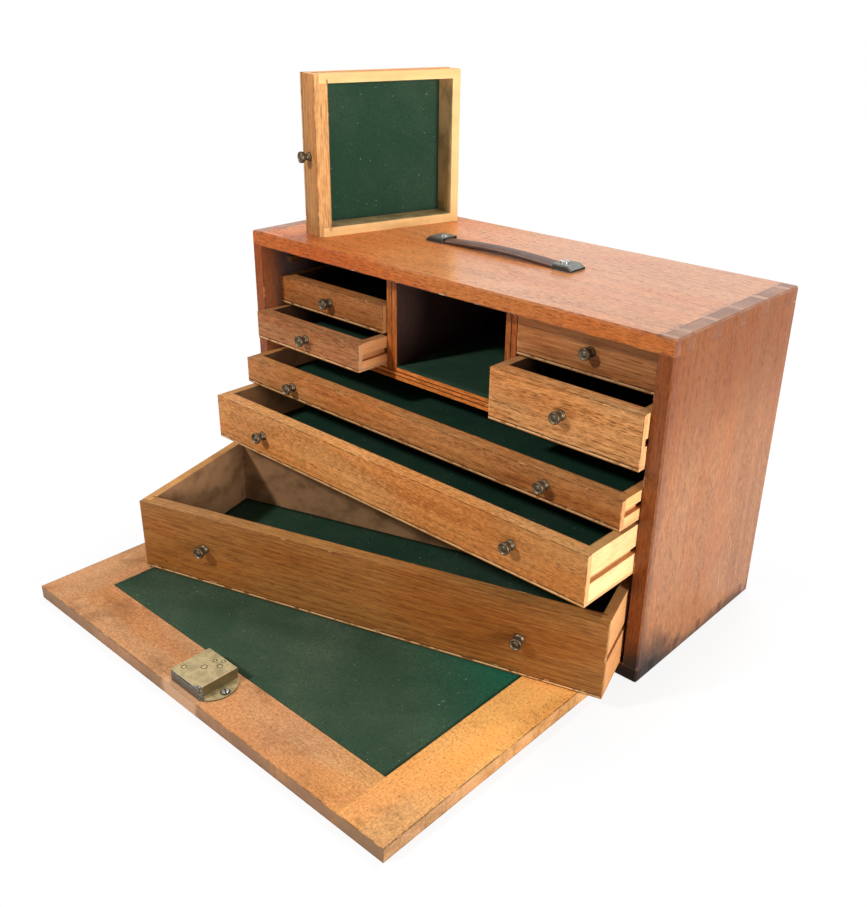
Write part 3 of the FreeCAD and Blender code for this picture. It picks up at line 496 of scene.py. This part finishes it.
def carcass():
    look = woods["carcass"]
    board, tall = chest["board"], chest["tall"]
    level = (halfWide, halfDeep, board / 2)
    upright = (board / 2, halfDeep, tall / 2)
    # The top board's worn colour is near white: its light spots along the edges are wear and painted
    # highlights on the arris
    rows = {"top_board": {"grain": "x", "worn": (0.95, 0.72, 0.5), "tone": (1.14, 1.12, 1.02),
                          "stainsAndPaintedLight": topStainsAndShade, "half": level, "centre": (0, 0, tall - board / 2)},
            "bottom_board": {"grain": "x", "worn": (0.6, 0.3, 0.14), "tone": 0.8,
                             "stainsAndPaintedLight": topStainsAndShade, "half": level, "centre": (0, 0, board / 2)},
            "left_side": {"grain": "z", "worn": (0.6, 0.26, 0.1), "tone": (0.88, 0.72, 0.5),
                          "stainsAndPaintedLight": sideStainsAndShade, "half": upright,
                          "centre": (board / 2 - halfWide, 0, tall / 2)},
            "right_side": {"grain": "z", "worn": (0.6, 0.3, 0.14), "tone": (0.63, 0.66, 0.66),
                           "stainsAndPaintedLight": sideStainsAndShade, "half": upright,
                           "centre": (halfWide - board / 2, 0, tall / 2)}}
    for number, (node, row) in enumerate(rows.items()):
        plank = Board(Shader(node + "Oak"), grain=row["grain"], seed=number * 1.3 + 0.4)

        def stained(plank, colour, rough, coat):
            colour, rough, coat = row["stainsAndPaintedLight"](plank, colour, rough, coat)
            colour = edgeWearAndGlints(plank, row["centre"], row["half"], colour, carcassStains["rim"], row["worn"])
            return colour, rough, coat
        paint(node, oak(look, plank, row["tone"], stained))
        soften(node, 0.7)
    inner = dict(woods["front"], coat=0.1, rough=0.5)
    paint("shelf", oak(inner, Board(Shader("shelfOak"), grain="x", seed=5.0), 1.9, shelfStainsAndShade))
    paint("dividers", oak(inner, Board(Shader("dividerOak"), grain="z", seed=6.0), 0.85, dividerStainsAndShade))
    paint("runners", oak(inner, Board(Shader("runnerOak"), grain="y", seed=7.0), 0.13))
    paint("back_panel", oak(woods["ply"], Board(Shader("backPly"), grain="x", seed=8.0), 1.0, backStainsAndShade))
    soften("shelf", 0.3)
    soften("dividers", 0.3)


# Drawers: varnished fronts, pale sides and backs, thin bottoms
drawerStainsAndLight = {"grime": (0.13, 0.042, 0.012), "litTop": (1.5, 1.8, 2.2), "paleEnds": (1.7, 1.9, 2.1),
                "frontBackShade": (0.04, 0.02, 0.01), "dirt": (0.13, 0.045, 0.016), "worn": (0.85, 0.5, 0.22),
                "sideGrime": (0.45, 0.19, 0.06), "groove": (0.3, 0.12, 0.04),
                "baseEdge": (0.85, 0.52, 0.24), "baseJoint": (0.08, 0.028, 0.01)}


def drawerBoards(name, number):
    row = drawers[name]
    at, turn, (wide, deep, tall) = row["at"], row["turn"], row["size"]
    board = Board(Shader(name + "FrontOak"), at, turn, "x", seed=number * 2.1 + 1)

    def frontStainsAndLight(board, colour, rough, coat):
        shader = board.shader
        grime = shader.cloud(board.place, (26, 26, 60), 4.0, 0.65)
        colour = shader.mix(grime.step(0.56, 0.8) * 0.4, colour, drawerStainsAndLight["grime"])
        # Painted shade: the front darkens towards its right end by the row's fade
        rightShade = (row["fade"],) * 3
        colour = shader.mix(board.x.step(0.0, wide / 2 * mm), colour, shader.tint(colour, rightShade))
        lit = shader.tint(colour, drawerStainsAndLight["litTop"])
        colour = shader.mix(board.topFace(0.6, 0.9) * 0.8, colour, lit)
        fromMiddle = board.x.size() + (grime - 0.5) * 0.002
        ends = fromMiddle.step((wide / 2 - 1.2) * mm, (wide / 2 - 0.5) * mm)
        colour = shader.mix(ends * 0.6, colour, shader.tint(colour, drawerStainsAndLight["paleEnds"]))
        # Painted shade: the front's back face, inside the drawer, is near black
        frontBackShade = board.y.step((frontThick - 1) * mm, frontThick * mm)
        colour = shader.mix(frontBackShade * 0.8, colour, drawerStainsAndLight["frontBackShade"])
        centre, half = (0, frontThick / 2, tall / 2 + 1.5), (wide / 2, frontThick / 2, tall / 2 - 1.5)
        # Wear along the edges, whose light spots are also painted highlights where the edges catch the light
        colour = edgeWearAndGlints(board, centre, half, colour, drawerStainsAndLight["dirt"], drawerStainsAndLight["worn"], 0.0013)
        return colour, rough, coat
    look = dict(woods["front"], **row.get("figure", {}))
    paint(f"{name}_drawer_front", oak(look, board, row["tone"], frontStainsAndLight))
    soften(f"{name}_drawer_front", 0.5)

    def acrossMask(board):
        inside = (wide / 2 - sideThick) * mm
        return board.x.size().step(inside - 0.3 * mm, inside - 0.1 * mm)
    board = Board(Shader(name + "SideOak"), at, turn, "x", acrossMask, number * 1.7 + 2)

    # Pale outside, painted shade inside and painted light inside the loose drawer, orange along the top edges
    # and painted shade in the groove
    def sideGrime(board, colour, rough, coat):
        shader = board.shader
        fromSide = board.x.size() - wide / 2 * mm
        grime = shader.cloud(board.place, (30, 30, 40), 4.0, 0.6)
        colour = shader.mix(grime.step(0.45, 0.75) * 0.35, colour, drawerStainsAndLight["sideGrime"])
        # Painted shade in the groove along the side's outer face
        grooved = (1.0 - fromSide.step(-0.0012, -0.0004)) * fromSide.step(-0.006, -0.005)
        colour = shader.mix(grooved * 0.45, colour, drawerStainsAndLight["groove"])
        # Painted shade: the inside faces take the row's inner colour, darker the further the drawer stands
        # in; in the loose drawer it is painted light
        within = 1.0 - fromSide.step((1 - sideThick) * mm, (2 - sideThick) * mm)
        stained = shader.mix(grime.step(0.4, 0.7), row["inner"], tinted(row["inner"], 0.55))
        colour = shader.mix(within, colour, stained)
        top = board.topFace(0.6, 0.9) * board.z.step((tall - 3) * mm, (tall - 2) * mm)
        handled = tinted(row["edge"], row.get("wornEdge", 0.68))
        edge = shader.mix(grime.step(0.35, 0.7), row["edge"], handled)
        return shader.mix(top * 0.85, colour, edge), rough, coat
    paint(f"{name}_drawer_box", oak(woods["pale"], board, row["pale"], sideGrime))
    soften(f"{name}_drawer_box", 0.4)
    board = Board(Shader(name + "BasePly"), at, turn, "x", seed=number * 0.9 + 3)

    # The base's front edge is varnished like the front, with a worn line and a dark joint
    def baseFront(board, colour, rough, coat):
        shader = board.shader
        facing = board.frontFace()
        varnish = tinted(tinted(woods["front"]["light"], row["tone"]), 0.62)
        chips = shader.cloud(board.place, 90, 2.0)
        line = (1.0 - (board.z - 1.6 * mm).size().step(0.0004, 0.0009)) * chips.step(0.36, 0.5)
        joint = board.z.step(0.0021, 0.0026)
        lined = shader.mix(line * 0.85, varnish, drawerStainsAndLight["baseEdge"])
        worn = shader.mix(joint, lined, drawerStainsAndLight["baseJoint"])
        return shader.mix(facing, colour, worn), rough, coat
    paint(f"{name}_drawer_base", oak(woods["ply"], board, row["pale"], baseFront))


# Front panel: a frame of four boards whose stiles run from front to back
lid = {"left": -246, "right": 233, "front": -394.5, "back": -107, "thick": 13, "stile": 48}
lidStainsAndLight = {"litRight": (1.7, 1.65, 1.0), "grime": (0.17, 0.075, 0.028), "speck": (0.22, 0.095, 0.03),
             "dirt": (0.1, 0.05, 0.02), "worn": (0.7, 0.42, 0.2), "frontEdge": (0.27, 0.15, 0.085),
             "rightEdge": ((0.3, 0.19, 0.12), (0.1, 0.05, 0.03)), "bare": (0.8, 0.48, 0.28)}


def lidBoards():
    middle = (lid["left"] + lid["right"]) / 2
    halfLid = (lid["right"] - lid["left"]) / 2
    reach = halfLid - lid["stile"]

    def stiles(board):
        return (board.x - middle * mm).size().step((reach - 0.2) * mm, (reach + 0.2) * mm)
    board = Board(Shader("lidOak"), grain="x", swap=stiles, seed=9.0)

    def stained(board, colour, rough, coat):
        shader = board.shader
        # Painted light: the right part of the frame is brighter and more orange, most towards its back
        right = board.x.step(0.1, 0.2)
        litRight = right * 0.4 + right * board.y.step(-0.38, -0.24) * 0.6
        colour = shader.mix(litRight, colour, shader.tint(colour, lidStainsAndLight["litRight"]))
        grime = shader.cloud(board.place, 22, 5.0, 0.7)
        colour = shader.mix(grime.step(0.5, 0.72) * 0.5, colour, lidStainsAndLight["grime"])
        specks = shader.noise(shader.joined(board.x * 420, board.y * 420, 1.0), 3.0, 0.7)
        colour = shader.mix(specks.step(0.5, 0.72) * 0.6, colour, lidStainsAndLight["speck"])
        centre = (middle, (lid["front"] + lid["back"]) / 2, lid["thick"] / 2)
        half = (halfLid, (lid["back"] - lid["front"]) / 2, lid["thick"] / 2)
        colour = edgeWearAndGlints(board, centre, half, colour, lidStainsAndLight["dirt"], lidStainsAndLight["worn"])
        facing = board.frontFace() * (grime.step(0.3, 0.6) * 0.35 + 0.5)
        colour = shader.mix(facing, colour, lidStainsAndLight["frontEdge"])
        ends = board.normal[0].step(0.5, 0.8)
        mottled = shader.mix(grime.step(0.42, 0.6), *lidStainsAndLight["rightEdge"])
        colour = shader.mix(ends * 0.6, colour, mottled)
        bare = (1.0 - (board.x + 0.012 + (grime - 0.5) * 0.02).size().step(0.02, 0.028)) \
            * (1.0 - (board.y - lid["front"] * mm).step(0.004, 0.007))
        return shader.mix(bare * 0.55, colour, lidStainsAndLight["bare"]), rough, coat
    paint("lid_frame", oak(woods["lid"], board, 1.0, stained))
    soften("lid_frame", 0.8)
    paint("lid_panel", oak(woods["ply"], Board(Shader("panelPly"), grain="x", seed=10.0), 0.7))


# Rivet heads on the lock's cover: distance right and back from the panel's front, size
rivets = {"cover": lid["thick"] + 12,
          "spots": ((-22.9, -275.5, 1.9), (-11, -252, 1.2), (-1.5, -254, 1.9), (-4.4, -248, 1.3),
                    (-10.6, -263.7, 2.2))}

# Domed screws in the lock's lugs, each head split by its slot
lugScrews = {"across": (-36.5, 18.5), "back": -264, "up": lid["thick"] + 1.5, "radius": 3.6, "rise": 1.5,
             "slot": 1.2, "turns": (20, 65)}


# Metals: a tarnish that wears bright along edges, with dull spots
metals = {
    "bronze": {"bright": (0.38, 0.31, 0.2), "dull": (0.10, 0.075, 0.045),
               "spots": (0.03, 0.022, 0.014), "rough": 0.36},
    "steel": {"bright": (0.66, 0.65, 0.6), "dull": (0.36, 0.35, 0.32),
              "spots": (0.05, 0.042, 0.035), "rough": 0.36},
    "darkSteel": {"bright": (0.5, 0.5, 0.46), "dull": (0.12, 0.125, 0.11),
                  "spots": (0.03, 0.033, 0.03), "rough": 0.42},
    "nickel": {"bright": (0.9, 0.89, 0.85), "dull": (0.5, 0.49, 0.45),
               "spots": (0.2, 0.19, 0.17), "rough": 0.22},
    "brass": {"bright": (0.7, 0.6, 0.38), "dull": (0.37, 0.295, 0.155),
              "spots": (0.06, 0.045, 0.02), "rough": 0.45}}
scorched = {"dark": (0.09, 0.08, 0.065), "scraped": (0.4, 0.38, 0.32)}
shadeOf = {"caps": {"right": (0.035, 0.036, 0.03), "front": (0.05, 0.051, 0.045)},
           "lock": {"right": (0.13, 0.1, 0.042), "front": (0.15, 0.135, 0.105), "scorch": (10.5, -389, 5)}}


# Marks are dark rings of dirt round small heads: across, back, inner and outer radius.
# Sides paint shade on the faces that look right and forwards, and scorch a corner: across, back
# and reach. Dirt fills all that is below hollow.
def metal(name, look, marks=(), sides=None, hollow=None):
    shader = Shader(name)
    place = x, y, z = shader.parts(shader.place)
    fine = shader.cloud(place, 900, 3.0, 0.6)
    broad = shader.cloud(place, 150, 3.0, 0.6)

    def distance(across, back):
        return ((x - across * mm) ** 2.0 + (y - back * mm) ** 2.0) ** 0.5
    rounded = shader.node("Bevel", {"samples": 4}, 0.0007)
    flat = shader.node("NewGeometry", {"output": "Normal"})
    settings = {"operation": "DOT_PRODUCT", "output": "Value"}
    bend = 1.0 - shader.node("VectorMath", settings, rounded, flat)
    worn = (bend + (fine - 0.5) * 0.12).step(0.02, 0.14)
    colour = shader.mix(broad.step(0.35, 0.65), look["dull"], tinted(look["dull"], 1.35))
    if sides:
        across, forwards, _ = shader.parts(flat)
        # Painted shade: faces that look right and forwards take the darker colours of sides
        colour = shader.mix(across.step(0.5, 0.8), colour, sides["right"])
        colour = shader.mix((0.0 - forwards).step(0.5, 0.8), colour, sides["front"])
    colour = shader.mix(fine.step(0.58, 0.7) * 0.6, colour, look["spots"])
    colour = shader.mix(worn * 0.85, colour, look["bright"])
    if sides and "scorch" in sides:
        across, back, reach = sides["scorch"]
        away = distance(across, back) + (broad - 0.5) * 0.012
        patch = 1.0 - away.step(reach * mm - 0.001, reach * mm)
        burnt = shader.mix(fine.step(0.5, 0.62), scorched["dark"], scorched["scraped"])
        colour = shader.mix(patch, colour, burnt)
    for across, back, inner, outer in marks:
        away = distance(across, back)
        ring = away.step(inner * mm, (inner + 0.2) * mm) \
            * (1.0 - away.step((outer - 0.2) * mm, (outer + 0.3) * mm))
        colour = shader.mix(ring * 0.85, colour, look["spots"])
    if hollow:
        colour = shader.mix(z.step(hollow * mm, (hollow + 0.2) * mm), look["spots"], colour)
    rough = (look["rough"] + (broad - 0.5) * 0.4 + fine * 0.1 - worn * 0.12).held()
    return shader.finish(Base_Color=colour, Metallic=0.8, Roughness=rough,
                         Normal=shader.bump(fine, 0.00015, 0.4))


def metalParts():
    heads = [v.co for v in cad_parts["handle_screws"].data.vertices]
    ends = [[v for v in heads if v.x < 0], [v for v in heads if v.x > 0]]
    centres = [sum(end, Vector()) / len(end) / mm for end in ends]
    rings = [(centre.x, centre.y, 2.9, 4.0) for centre in centres]
    for nodes, name, marks, facingShade in ((("strike_plate", "locating_studs"), "steel", (), None),
                                      (("handle_screws",), "nickel", (), None),
                                      (("handle_caps", "lock_bolt"), "darkSteel", rings, shadeOf["caps"])):
        material = metal(name, metals[name], marks, facingShade)
        for node in nodes:
            paint(node, material)
            soften(node, 0.35 if node != "handle_caps" else 0.7)
    marks = [(across, back + front, radius, radius + 0.8) for across, back, radius in rivets["spots"]]
    marks += [(across, lugScrews["back"] + front, lugScrews["radius"], lugScrews["radius"] + 1.0)
              for across in lugScrews["across"]]
    paint("lock_case", metal("brass", metals["brass"], marks, shadeOf["lock"]))
    soften("lock_case", 0.35)


def addPiece(name, mesh, body, material):
    piece = bpy.data.objects.new(name, mesh)
    bpy.context.scene.collection.objects.link(piece)
    mesh.materials.append(material)
    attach(piece, body)
    return piece


# A turned shape: rings round an axis, from (radius, distance) pairs in millimetres
def turned(mesh, profile, place, segments=40):
    rings = []
    for radius, along in profile:
        count = segments if radius > 0 else 1
        angles = [2 * pi * i / segments for i in range(count)]
        rings.append([mesh.verts.new(place @ (Vector((radius * cos(a), -along, radius * sin(a))) * mm))
                      for a in angles])
    for one, two in zip(rings, rings[1:]):
        for i in range(segments):
            j = (i + 1) % segments
            corners = [one[i % len(one)], one[j % len(one)], two[j % len(two)], two[i % len(two)]]
            mesh.faces.new(list(dict.fromkeys(corners)))


def finished(name, mesh, smooth=True):
    bmesh.ops.recalc_face_normals(mesh, faces=mesh.faces)
    data = bpy.data.meshes.new(name)
    mesh.to_mesh(data)
    mesh.free()
    for face in data.polygons:
        face.use_smooth = smooth
    return data


# Knobs: a beaded foot, a hollow neck and a head with a dished face and a small button
knobShape = ((0, 0), (4.6, 0), (4.8, 0.3), (4.8, 1.3), (4.5, 1.8), (3.9, 2.2), (3.5, 2.9), (3.3, 3.8),
             (3.35, 4.8), (3.8, 5.9), (4.6, 6.6), (5.1, 6.8), (5.2, 7.1), (5.05, 7.4), (5.3, 7.6),
             (5.6, 8.0), (5.7, 8.6), (5.7, 9.9), (5.6, 10.5), (5.3, 10.9), (4.9, 11), (4.5, 10.8),
             (4.2, 10.3), (3.6, 10.0), (2.4, 9.9), (2.2, 10.2), (1.9, 10.45), (1.0, 10.6), (0, 10.65))


def knobs(material):
    for name, row in drawers.items():
        mesh = bmesh.new()
        for across, high in row["knobs"]:
            turned(mesh, knobShape, drawerPlace(name) @ Matrix.Translation((across * mm, 0, high * mm)))
        shape = finished(f"{name}Knobs", mesh)
        piece = addPiece(f"{name}Knobs", shape, f"{name}_drawer", material)
        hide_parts(f"{name}_drawer_knobs")


# Felt linings: thin sheets that lie a little uneven, low and high above the board
felt = {"low": 0.05, "high": 1.05, "cell": 7, "ripple": 0.22, "waves": 18}
felts = {"deep": {"colour": (0.015, 0.053, 0.031), "dust": (0.033, 0.068, 0.043)},
         "dusty": {"colour": (0.027, 0.07, 0.041), "dust": (0.048, 0.09, 0.057)},
         "greyed": {"colour": (0.044, 0.084, 0.049), "dust": (0.08, 0.117, 0.07)}}


def feltMaterial(name, look, paintedSheen=False):
    shader = Shader(name)
    place = x, y, z = shader.parts(shader.place)
    fine = shader.cloud(place, 620, 4.0, 0.75)
    broad = shader.cloud(place, 14, 4.0, 0.6)
    lint = shader.cloud(place, 380, 2.0)
    colour = shader.mix(broad.step(0.35, 0.7), look["colour"], look["dust"])
    if paintedSheen:
        # Painted sheen: most of the baize keeps the greyed colour that stands for its sheen, turning a clear
        # green towards the right and back
        clearGreen = (x * 0.7 + y + (broad - 0.5) * 0.1).step(-0.2, -0.03)
        colour = shader.mix(clearGreen * 0.95, colour, (0.012, 0.155, 0.085))
    colour = shader.mix(fine.step(0.32, 0.68) * 0.6, colour, tuple(c * 0.5 for c in look["colour"]))
    colour = shader.mix(lint.step(0.735, 0.775) * 0.7, colour, (0.45, 0.45, 0.36))
    return shader.finish(Base_Color=colour, Roughness=0.95, Specular_IOR_Level=0.05,
                         Normal=shader.bump(fine, 0.0004, 0.7))


# A sheet cut to the lining's own outline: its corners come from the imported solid
def feltSheet(node, body, material):
    corners = [v.co.copy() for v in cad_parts[node].data.vertices]
    middle = sum(corners, Vector()) / len(corners)
    drawer = node.replace("_drawer_lining", "")
    turn = Euler(drawers[drawer]["turn"]).to_matrix() if drawer in drawers else Matrix.Identity(3)
    local = [turn.transposed() @ (c - middle) for c in corners]
    half = [max(abs(p[i]) for p in local) for i in range(3)]
    cells = [max(4, round(2 * h / mm / felt["cell"])) for h in half[:2]]
    mesh = bmesh.new()
    layers = []
    for top in (False, True):
        rows = []
        for j in range(cells[1] + 1):
            row = []
            for i in range(cells[0] + 1):
                u, v = (2 * i / cells[0] - 1), (2 * j / cells[1] - 1)
                spot = Vector((u * half[0], v * half[1], 0))
                lift = noise.noise(spot * felt["waves"] + middle * 50) * felt["ripple"]
                height = -half[2] + (felt["high"] + lift if top else felt["low"]) * mm
                row.append(mesh.verts.new(middle + turn @ (spot + Vector((0, 0, height)))))
            rows.append(row)
        layers.append(rows)
    for rows, flip in ((layers[0], True), (layers[1], False)):
        for one, two in zip(rows, rows[1:]):
            for i in range(cells[0]):
                face = [one[i], one[i + 1], two[i + 1], two[i]]
                mesh.faces.new(face[::-1] if flip else face)
    low, high = layers
    rim = [(0, i) for i in range(cells[0])] + [(j, cells[0]) for j in range(cells[1])]
    rim += [(cells[1], i) for i in range(cells[0], 0, -1)] + [(j, 0) for j in range(cells[1], 0, -1)]
    for (a, b), (c, d) in zip(rim, rim[1:] + rim[:1]):
        mesh.faces.new([low[a][b], low[c][d], high[c][d], high[a][b]])
    name = node.replace("_", " ").title().replace(" ", "") + "Felt"
    piece = addPiece(name, finished(name, mesh), body, material)
    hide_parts(node)
    2 * half[0]
    2 * half[1]


def linings():
    deep = feltMaterial("drawerFelt", felts["deep"])
    dusty = feltMaterial("looseFelt", felts["dusty"])
    for name in drawers:
        cloth = dusty if name in ("loose", "bottom") else deep
        feltSheet(f"{name}_drawer_lining", f"{name}_drawer", cloth)
    feltSheet("compartment_lining", "root", dusty)
    feltSheet("lid_lining", "lid", feltMaterial("panelBaize", felts["greyed"], True))


# Leather strap: a crowned section swept along the arch between the two caps
strap = {"left": -86, "right": 80.6, "back": 4, "flat": 17, "rise": 2.6, "top": 317.5, "steps": 90,
         "section": ((-9.5, 0.8), (-9.2, 0.15), (0, 0.1), (9.2, 0.15), (9.5, 0.8), (9.5, 2.0), (9.2, 2.5),
                     (8.5, 2.7), (8.1, 2.45), (7.7, 2.75), (6.2, 3.4), (3.5, 3.85), (0, 4.0),
                     (-3.5, 3.85), (-6.2, 3.4), (-7.7, 2.75), (-8.1, 2.45), (-8.5, 2.7), (-9.2, 2.5),
                     (-9.5, 2.0))}
leatherColours = {"worn": (0.15, 0.066, 0.042), "plain": (0.065, 0.026, 0.017), "grain": (0.025, 0.013, 0.01),
                  "thread": (0.4, 0.3, 0.22), "edge": (0.03, 0.014, 0.01)}


# The strap's edges are stitched and its crown is rubbed
def leather():
    shader = Shader("strapLeather")
    place = x, y, z = shader.parts(shader.place)
    grainNoise = shader.cloud(place, (500, 900, 900), 4.0, 0.65)
    creases = shader.cloud(place, (420, 60, 60), 3.0, 0.6)
    rubbed = shader.cloud(place, (45, 60, 60), 3.0, 0.6)
    side = (y - strap["back"] * mm).size()
    colour = shader.mix(rubbed.step(0.35, 0.7), leatherColours["plain"], leatherColours["worn"])
    colour = shader.mix(grainNoise.step(0.5, 0.75) * 0.5, colour, leatherColours["grain"])
    thread = (1.0 - (side - 0.0078).size().step(0.0003, 0.0006)) * (x * 2600).wave().step(0.3, 0.6)
    colour = shader.mix(thread * 0.8, colour, leatherColours["thread"])
    edge = side.step(0.0086, 0.0092)
    colour = shader.mix(edge * 0.6, colour, leatherColours["edge"])
    height = grainNoise * 0.5 + creases * 0.6
    return shader.finish(Base_Color=colour, Roughness=(rubbed * 0.3 + 0.28).held(),
                         Specular_IOR_Level=0.3, Normal=shader.bump(height, 0.0004, 0.8))


def leatherStrap():
    mesh = bmesh.new()
    rings = []
    span = strap["right"] - strap["left"] - 2 * strap["flat"]
    for step in range(strap["steps"] + 1):
        along = strap["left"] + (strap["right"] - strap["left"]) * step / strap["steps"]
        inArch = min(max((along - strap["left"] - strap["flat"]) / span, 0), 1)
        lift = strap["rise"] * sin(pi * inArch)
        middle = Vector((along, strap["back"], strap["top"] + lift))
        rings.append([mesh.verts.new((middle + Vector((0, across, high))) * mm)
                      for across, high in strap["section"]])
    count = len(strap["section"])
    for one, two in zip(rings, rings[1:]):
        for i in range(count):
            mesh.faces.new([one[i], one[(i + 1) % count], two[(i + 1) % count], two[i]])
    mesh.faces.new(rings[0])
    mesh.faces.new(rings[-1][::-1])
    piece = addPiece("leatherStrap", finished("leatherStrap", mesh), "root", leather())
    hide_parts("handle_strap")


def lockRivets(material):
    mesh = bmesh.new()
    for across, back, radius in rivets["spots"]:
        place = Matrix.Translation(Vector((across, back + front, rivets["cover"])) * mm)
        place = place @ Matrix.Rotation(-pi / 2, 4, "X")
        shape = ((0, -0.2), (radius, -0.2), (radius, 0.15), (radius * 0.85, 0.35),
                 (radius * 0.5, 0.5), (0, 0.55))
        turned(mesh, shape, place, 24)
    addPiece("lockRivets", finished("lockRivets", mesh), "lid", material)


# Two half domes either side of the slot, on a disc that is the slot's floor
def slottedHead(mesh, place, radius, rise, slot):
    shape = ((0, 0), (radius, 0), (radius, rise * 0.35), (radius * 0.86, rise * 0.75),
             (radius * 0.5, rise * 0.96), (0, rise))
    for side in (1, -1):
        half = bmesh.new()
        turned(half, shape, Matrix.Identity(4), 32)
        wall = (side * slot / 2 * mm, 0, 0)
        parts = half.verts[:] + half.edges[:] + half.faces[:]
        cut = bmesh.ops.bisect_plane(half, geom=parts, plane_co=wall, plane_no=(side, 0, 0),
                                     clear_inner=True)
        rim = [item for item in cut["geom_cut"] if isinstance(item, bmesh.types.BMEdge)]
        bmesh.ops.edgeloop_fill(half, edges=rim)
        bmesh.ops.transform(half, matrix=place, verts=half.verts)
        shaped = bpy.data.meshes.new("half")
        half.to_mesh(shaped)
        half.free()
        mesh.from_mesh(shaped)
        bpy.data.meshes.remove(shaped)
    turned(mesh, ((0, 0), (radius * 0.97, 0), (radius * 0.97, rise * 0.4), (0, rise * 0.4)), place, 32)


def lockScrews(material):
    mesh = bmesh.new()
    for across, degrees in zip(lugScrews["across"], lugScrews["turns"]):
        place = Matrix.Translation(Vector((across, lugScrews["back"] + front, lugScrews["up"])) * mm)
        place = place @ Matrix.Rotation(radians(degrees), 4, "Z") @ Matrix.Rotation(-pi / 2, 4, "X")
        slottedHead(mesh, place, lugScrews["radius"], lugScrews["rise"], lugScrews["slot"])
    addPiece("lockScrews", finished("lockScrews", mesh, False), "lid", material)


# Camera: where the photograph was taken from
view = {"place": Vector((0.59308, -0.74217, 0.55263)), "turn": 42.43, "height": 25.329,
        "roll": 0.775, "lens": 39.22}


def makeCamera():
    turn, height, roll = (radians(view[key]) for key in ("turn", "height", "roll"))
    back = Vector((sin(turn) * cos(height), -cos(turn) * cos(height), sin(height)))
    level = Vector((cos(turn), sin(turn), 0))
    upright = back.cross(level)
    right = cos(roll) * level + sin(roll) * upright
    up = cos(roll) * upright - sin(roll) * level
    data = bpy.data.cameras.new("camera")
    data.lens = view["lens"]
    data.sensor_width = 36
    camera = bpy.data.objects.new("camera", data)
    axes = Matrix((right, up, back)).transposed()
    camera.matrix_world = Matrix.Translation(view["place"]) @ axes.to_4x4()
    bpy.context.scene.collection.objects.link(camera)
    bpy.context.scene.camera = camera


# Floor, white background and studio light
studio = {"floorHalf": 4.0, "floorColour": (0.88, 0.88, 0.88), "fill": 0.08, "shown": 1.0,
          "floorGlow": 0.84, "glow": 1.02, "shadowHalf": (0.26, 0.27), "shadowBack": 0.14, "fade": 0.12}
lamps = {"keyLamp": {"at": (-0.62, -1.75, 1.45), "size": 0.2, "power": 28},
         "sideLamp": {"at": (2.2, -0.35, 0.5), "size": 0.8, "power": 50},
         "topLamp": {"at": (-0.2, 1.1, 2.2), "size": 1.5, "power": 38}}


# The camera, mirrors and glass see plain white; matt surfaces are lit by the lamps and
# a little fill
def makeStudio():
    shader = Shader("floorPaint")
    seen = shader.node("LightPath", {"output": "Is Camera Ray"})
    shader.finish(Base_Color=studio["floorColour"], Roughness=0.9)
    glow = shader.node("Emission", {}, (1, 1, 1), studio["glow"])
    surface = Value(shader, shader.surface.outputs["BSDF"])
    x, y, _ = shader.parts(shader.place)
    halfX, halfY = studio["shadowHalf"]  # the shadow shows round the object and fades beyond it
    away = (x.size() - halfX).largest((y + studio["shadowBack"]).size() - halfY)
    share = away.step(0.0, studio["fade"]) * (1.0 - studio["floorGlow"]) + studio["floorGlow"]
    mixed = shader.node("MixShader", {}, seen * share, surface, glow)
    shader.links.new(mixed.socket, shader.nodes["Material Output"].inputs["Surface"])
    mesh = bpy.data.meshes.new("floor")
    half = studio["floorHalf"]
    corners = [(-half, -half, 0), (half, -half, 0), (half, half, 0), (-half, half, 0)]
    mesh.from_pydata(corners, [], [(0, 1, 2, 3)])
    mesh.materials.append(shader.material)
    floor = bpy.data.objects.new("floor", mesh)
    bpy.context.scene.collection.objects.link(floor)
    world = bpy.data.worlds.new("studio")
    bpy.context.scene.world = world
    world.use_nodes = True
    nodes, links = world.node_tree.nodes, world.node_tree.links
    background = nodes["Background"]
    background.inputs["Color"].default_value = (1, 1, 1, 1)
    path = nodes.new("ShaderNodeLightPath")
    seen = nodes.new("ShaderNodeMath")
    seen.operation = "MAXIMUM"
    clear = nodes.new("ShaderNodeMath")
    clear.operation = "MAXIMUM"
    level = nodes.new("ShaderNodeMapRange")
    level.inputs["To Min"].default_value = studio["fill"]
    level.inputs["To Max"].default_value = studio["shown"]
    links.new(path.outputs["Is Camera Ray"], seen.inputs[0])
    links.new(path.outputs["Is Glossy Ray"], seen.inputs[1])
    links.new(seen.outputs[0], clear.inputs[0])
    links.new(path.outputs["Is Transmission Ray"], clear.inputs[1])
    links.new(clear.outputs[0], level.inputs["Value"])
    links.new(level.outputs[0], background.inputs["Strength"])
    bpy.context.scene.view_settings.view_transform = "Standard"


def makeLamps():
    for name, row in lamps.items():
        data = bpy.data.lights.new(name, "AREA")
        data.shape = "DISK"
        data.size = row["size"]
        data.energy = row["power"]
        lamp = bpy.data.objects.new(name, data)
        lamp.location = row["at"]
        aim = Vector((0, 0, 0.1)) - Vector(row["at"])
        lamp.rotation_euler = aim.to_track_quat("-Z", "Y").to_euler()
        bpy.context.scene.collection.objects.link(lamp)


carcass()
print("carcass finished")
for number, name in enumerate(drawers):
    drawerBoards(name, number)
print("drawers finished")
lidBoards()
metalParts()
knobs(metal("bronze", metals["bronze"]))
lockRivets(bpy.data.materials["brass"])
lockScrews(metal("screwSteel", metals["steel"], hollow=lugScrews["up"] + 0.75))
print("front panel and metal finished")
linings()
leatherStrap()
print("felt and leather finished")
makeCamera()
makeStudio()
makeLamps()
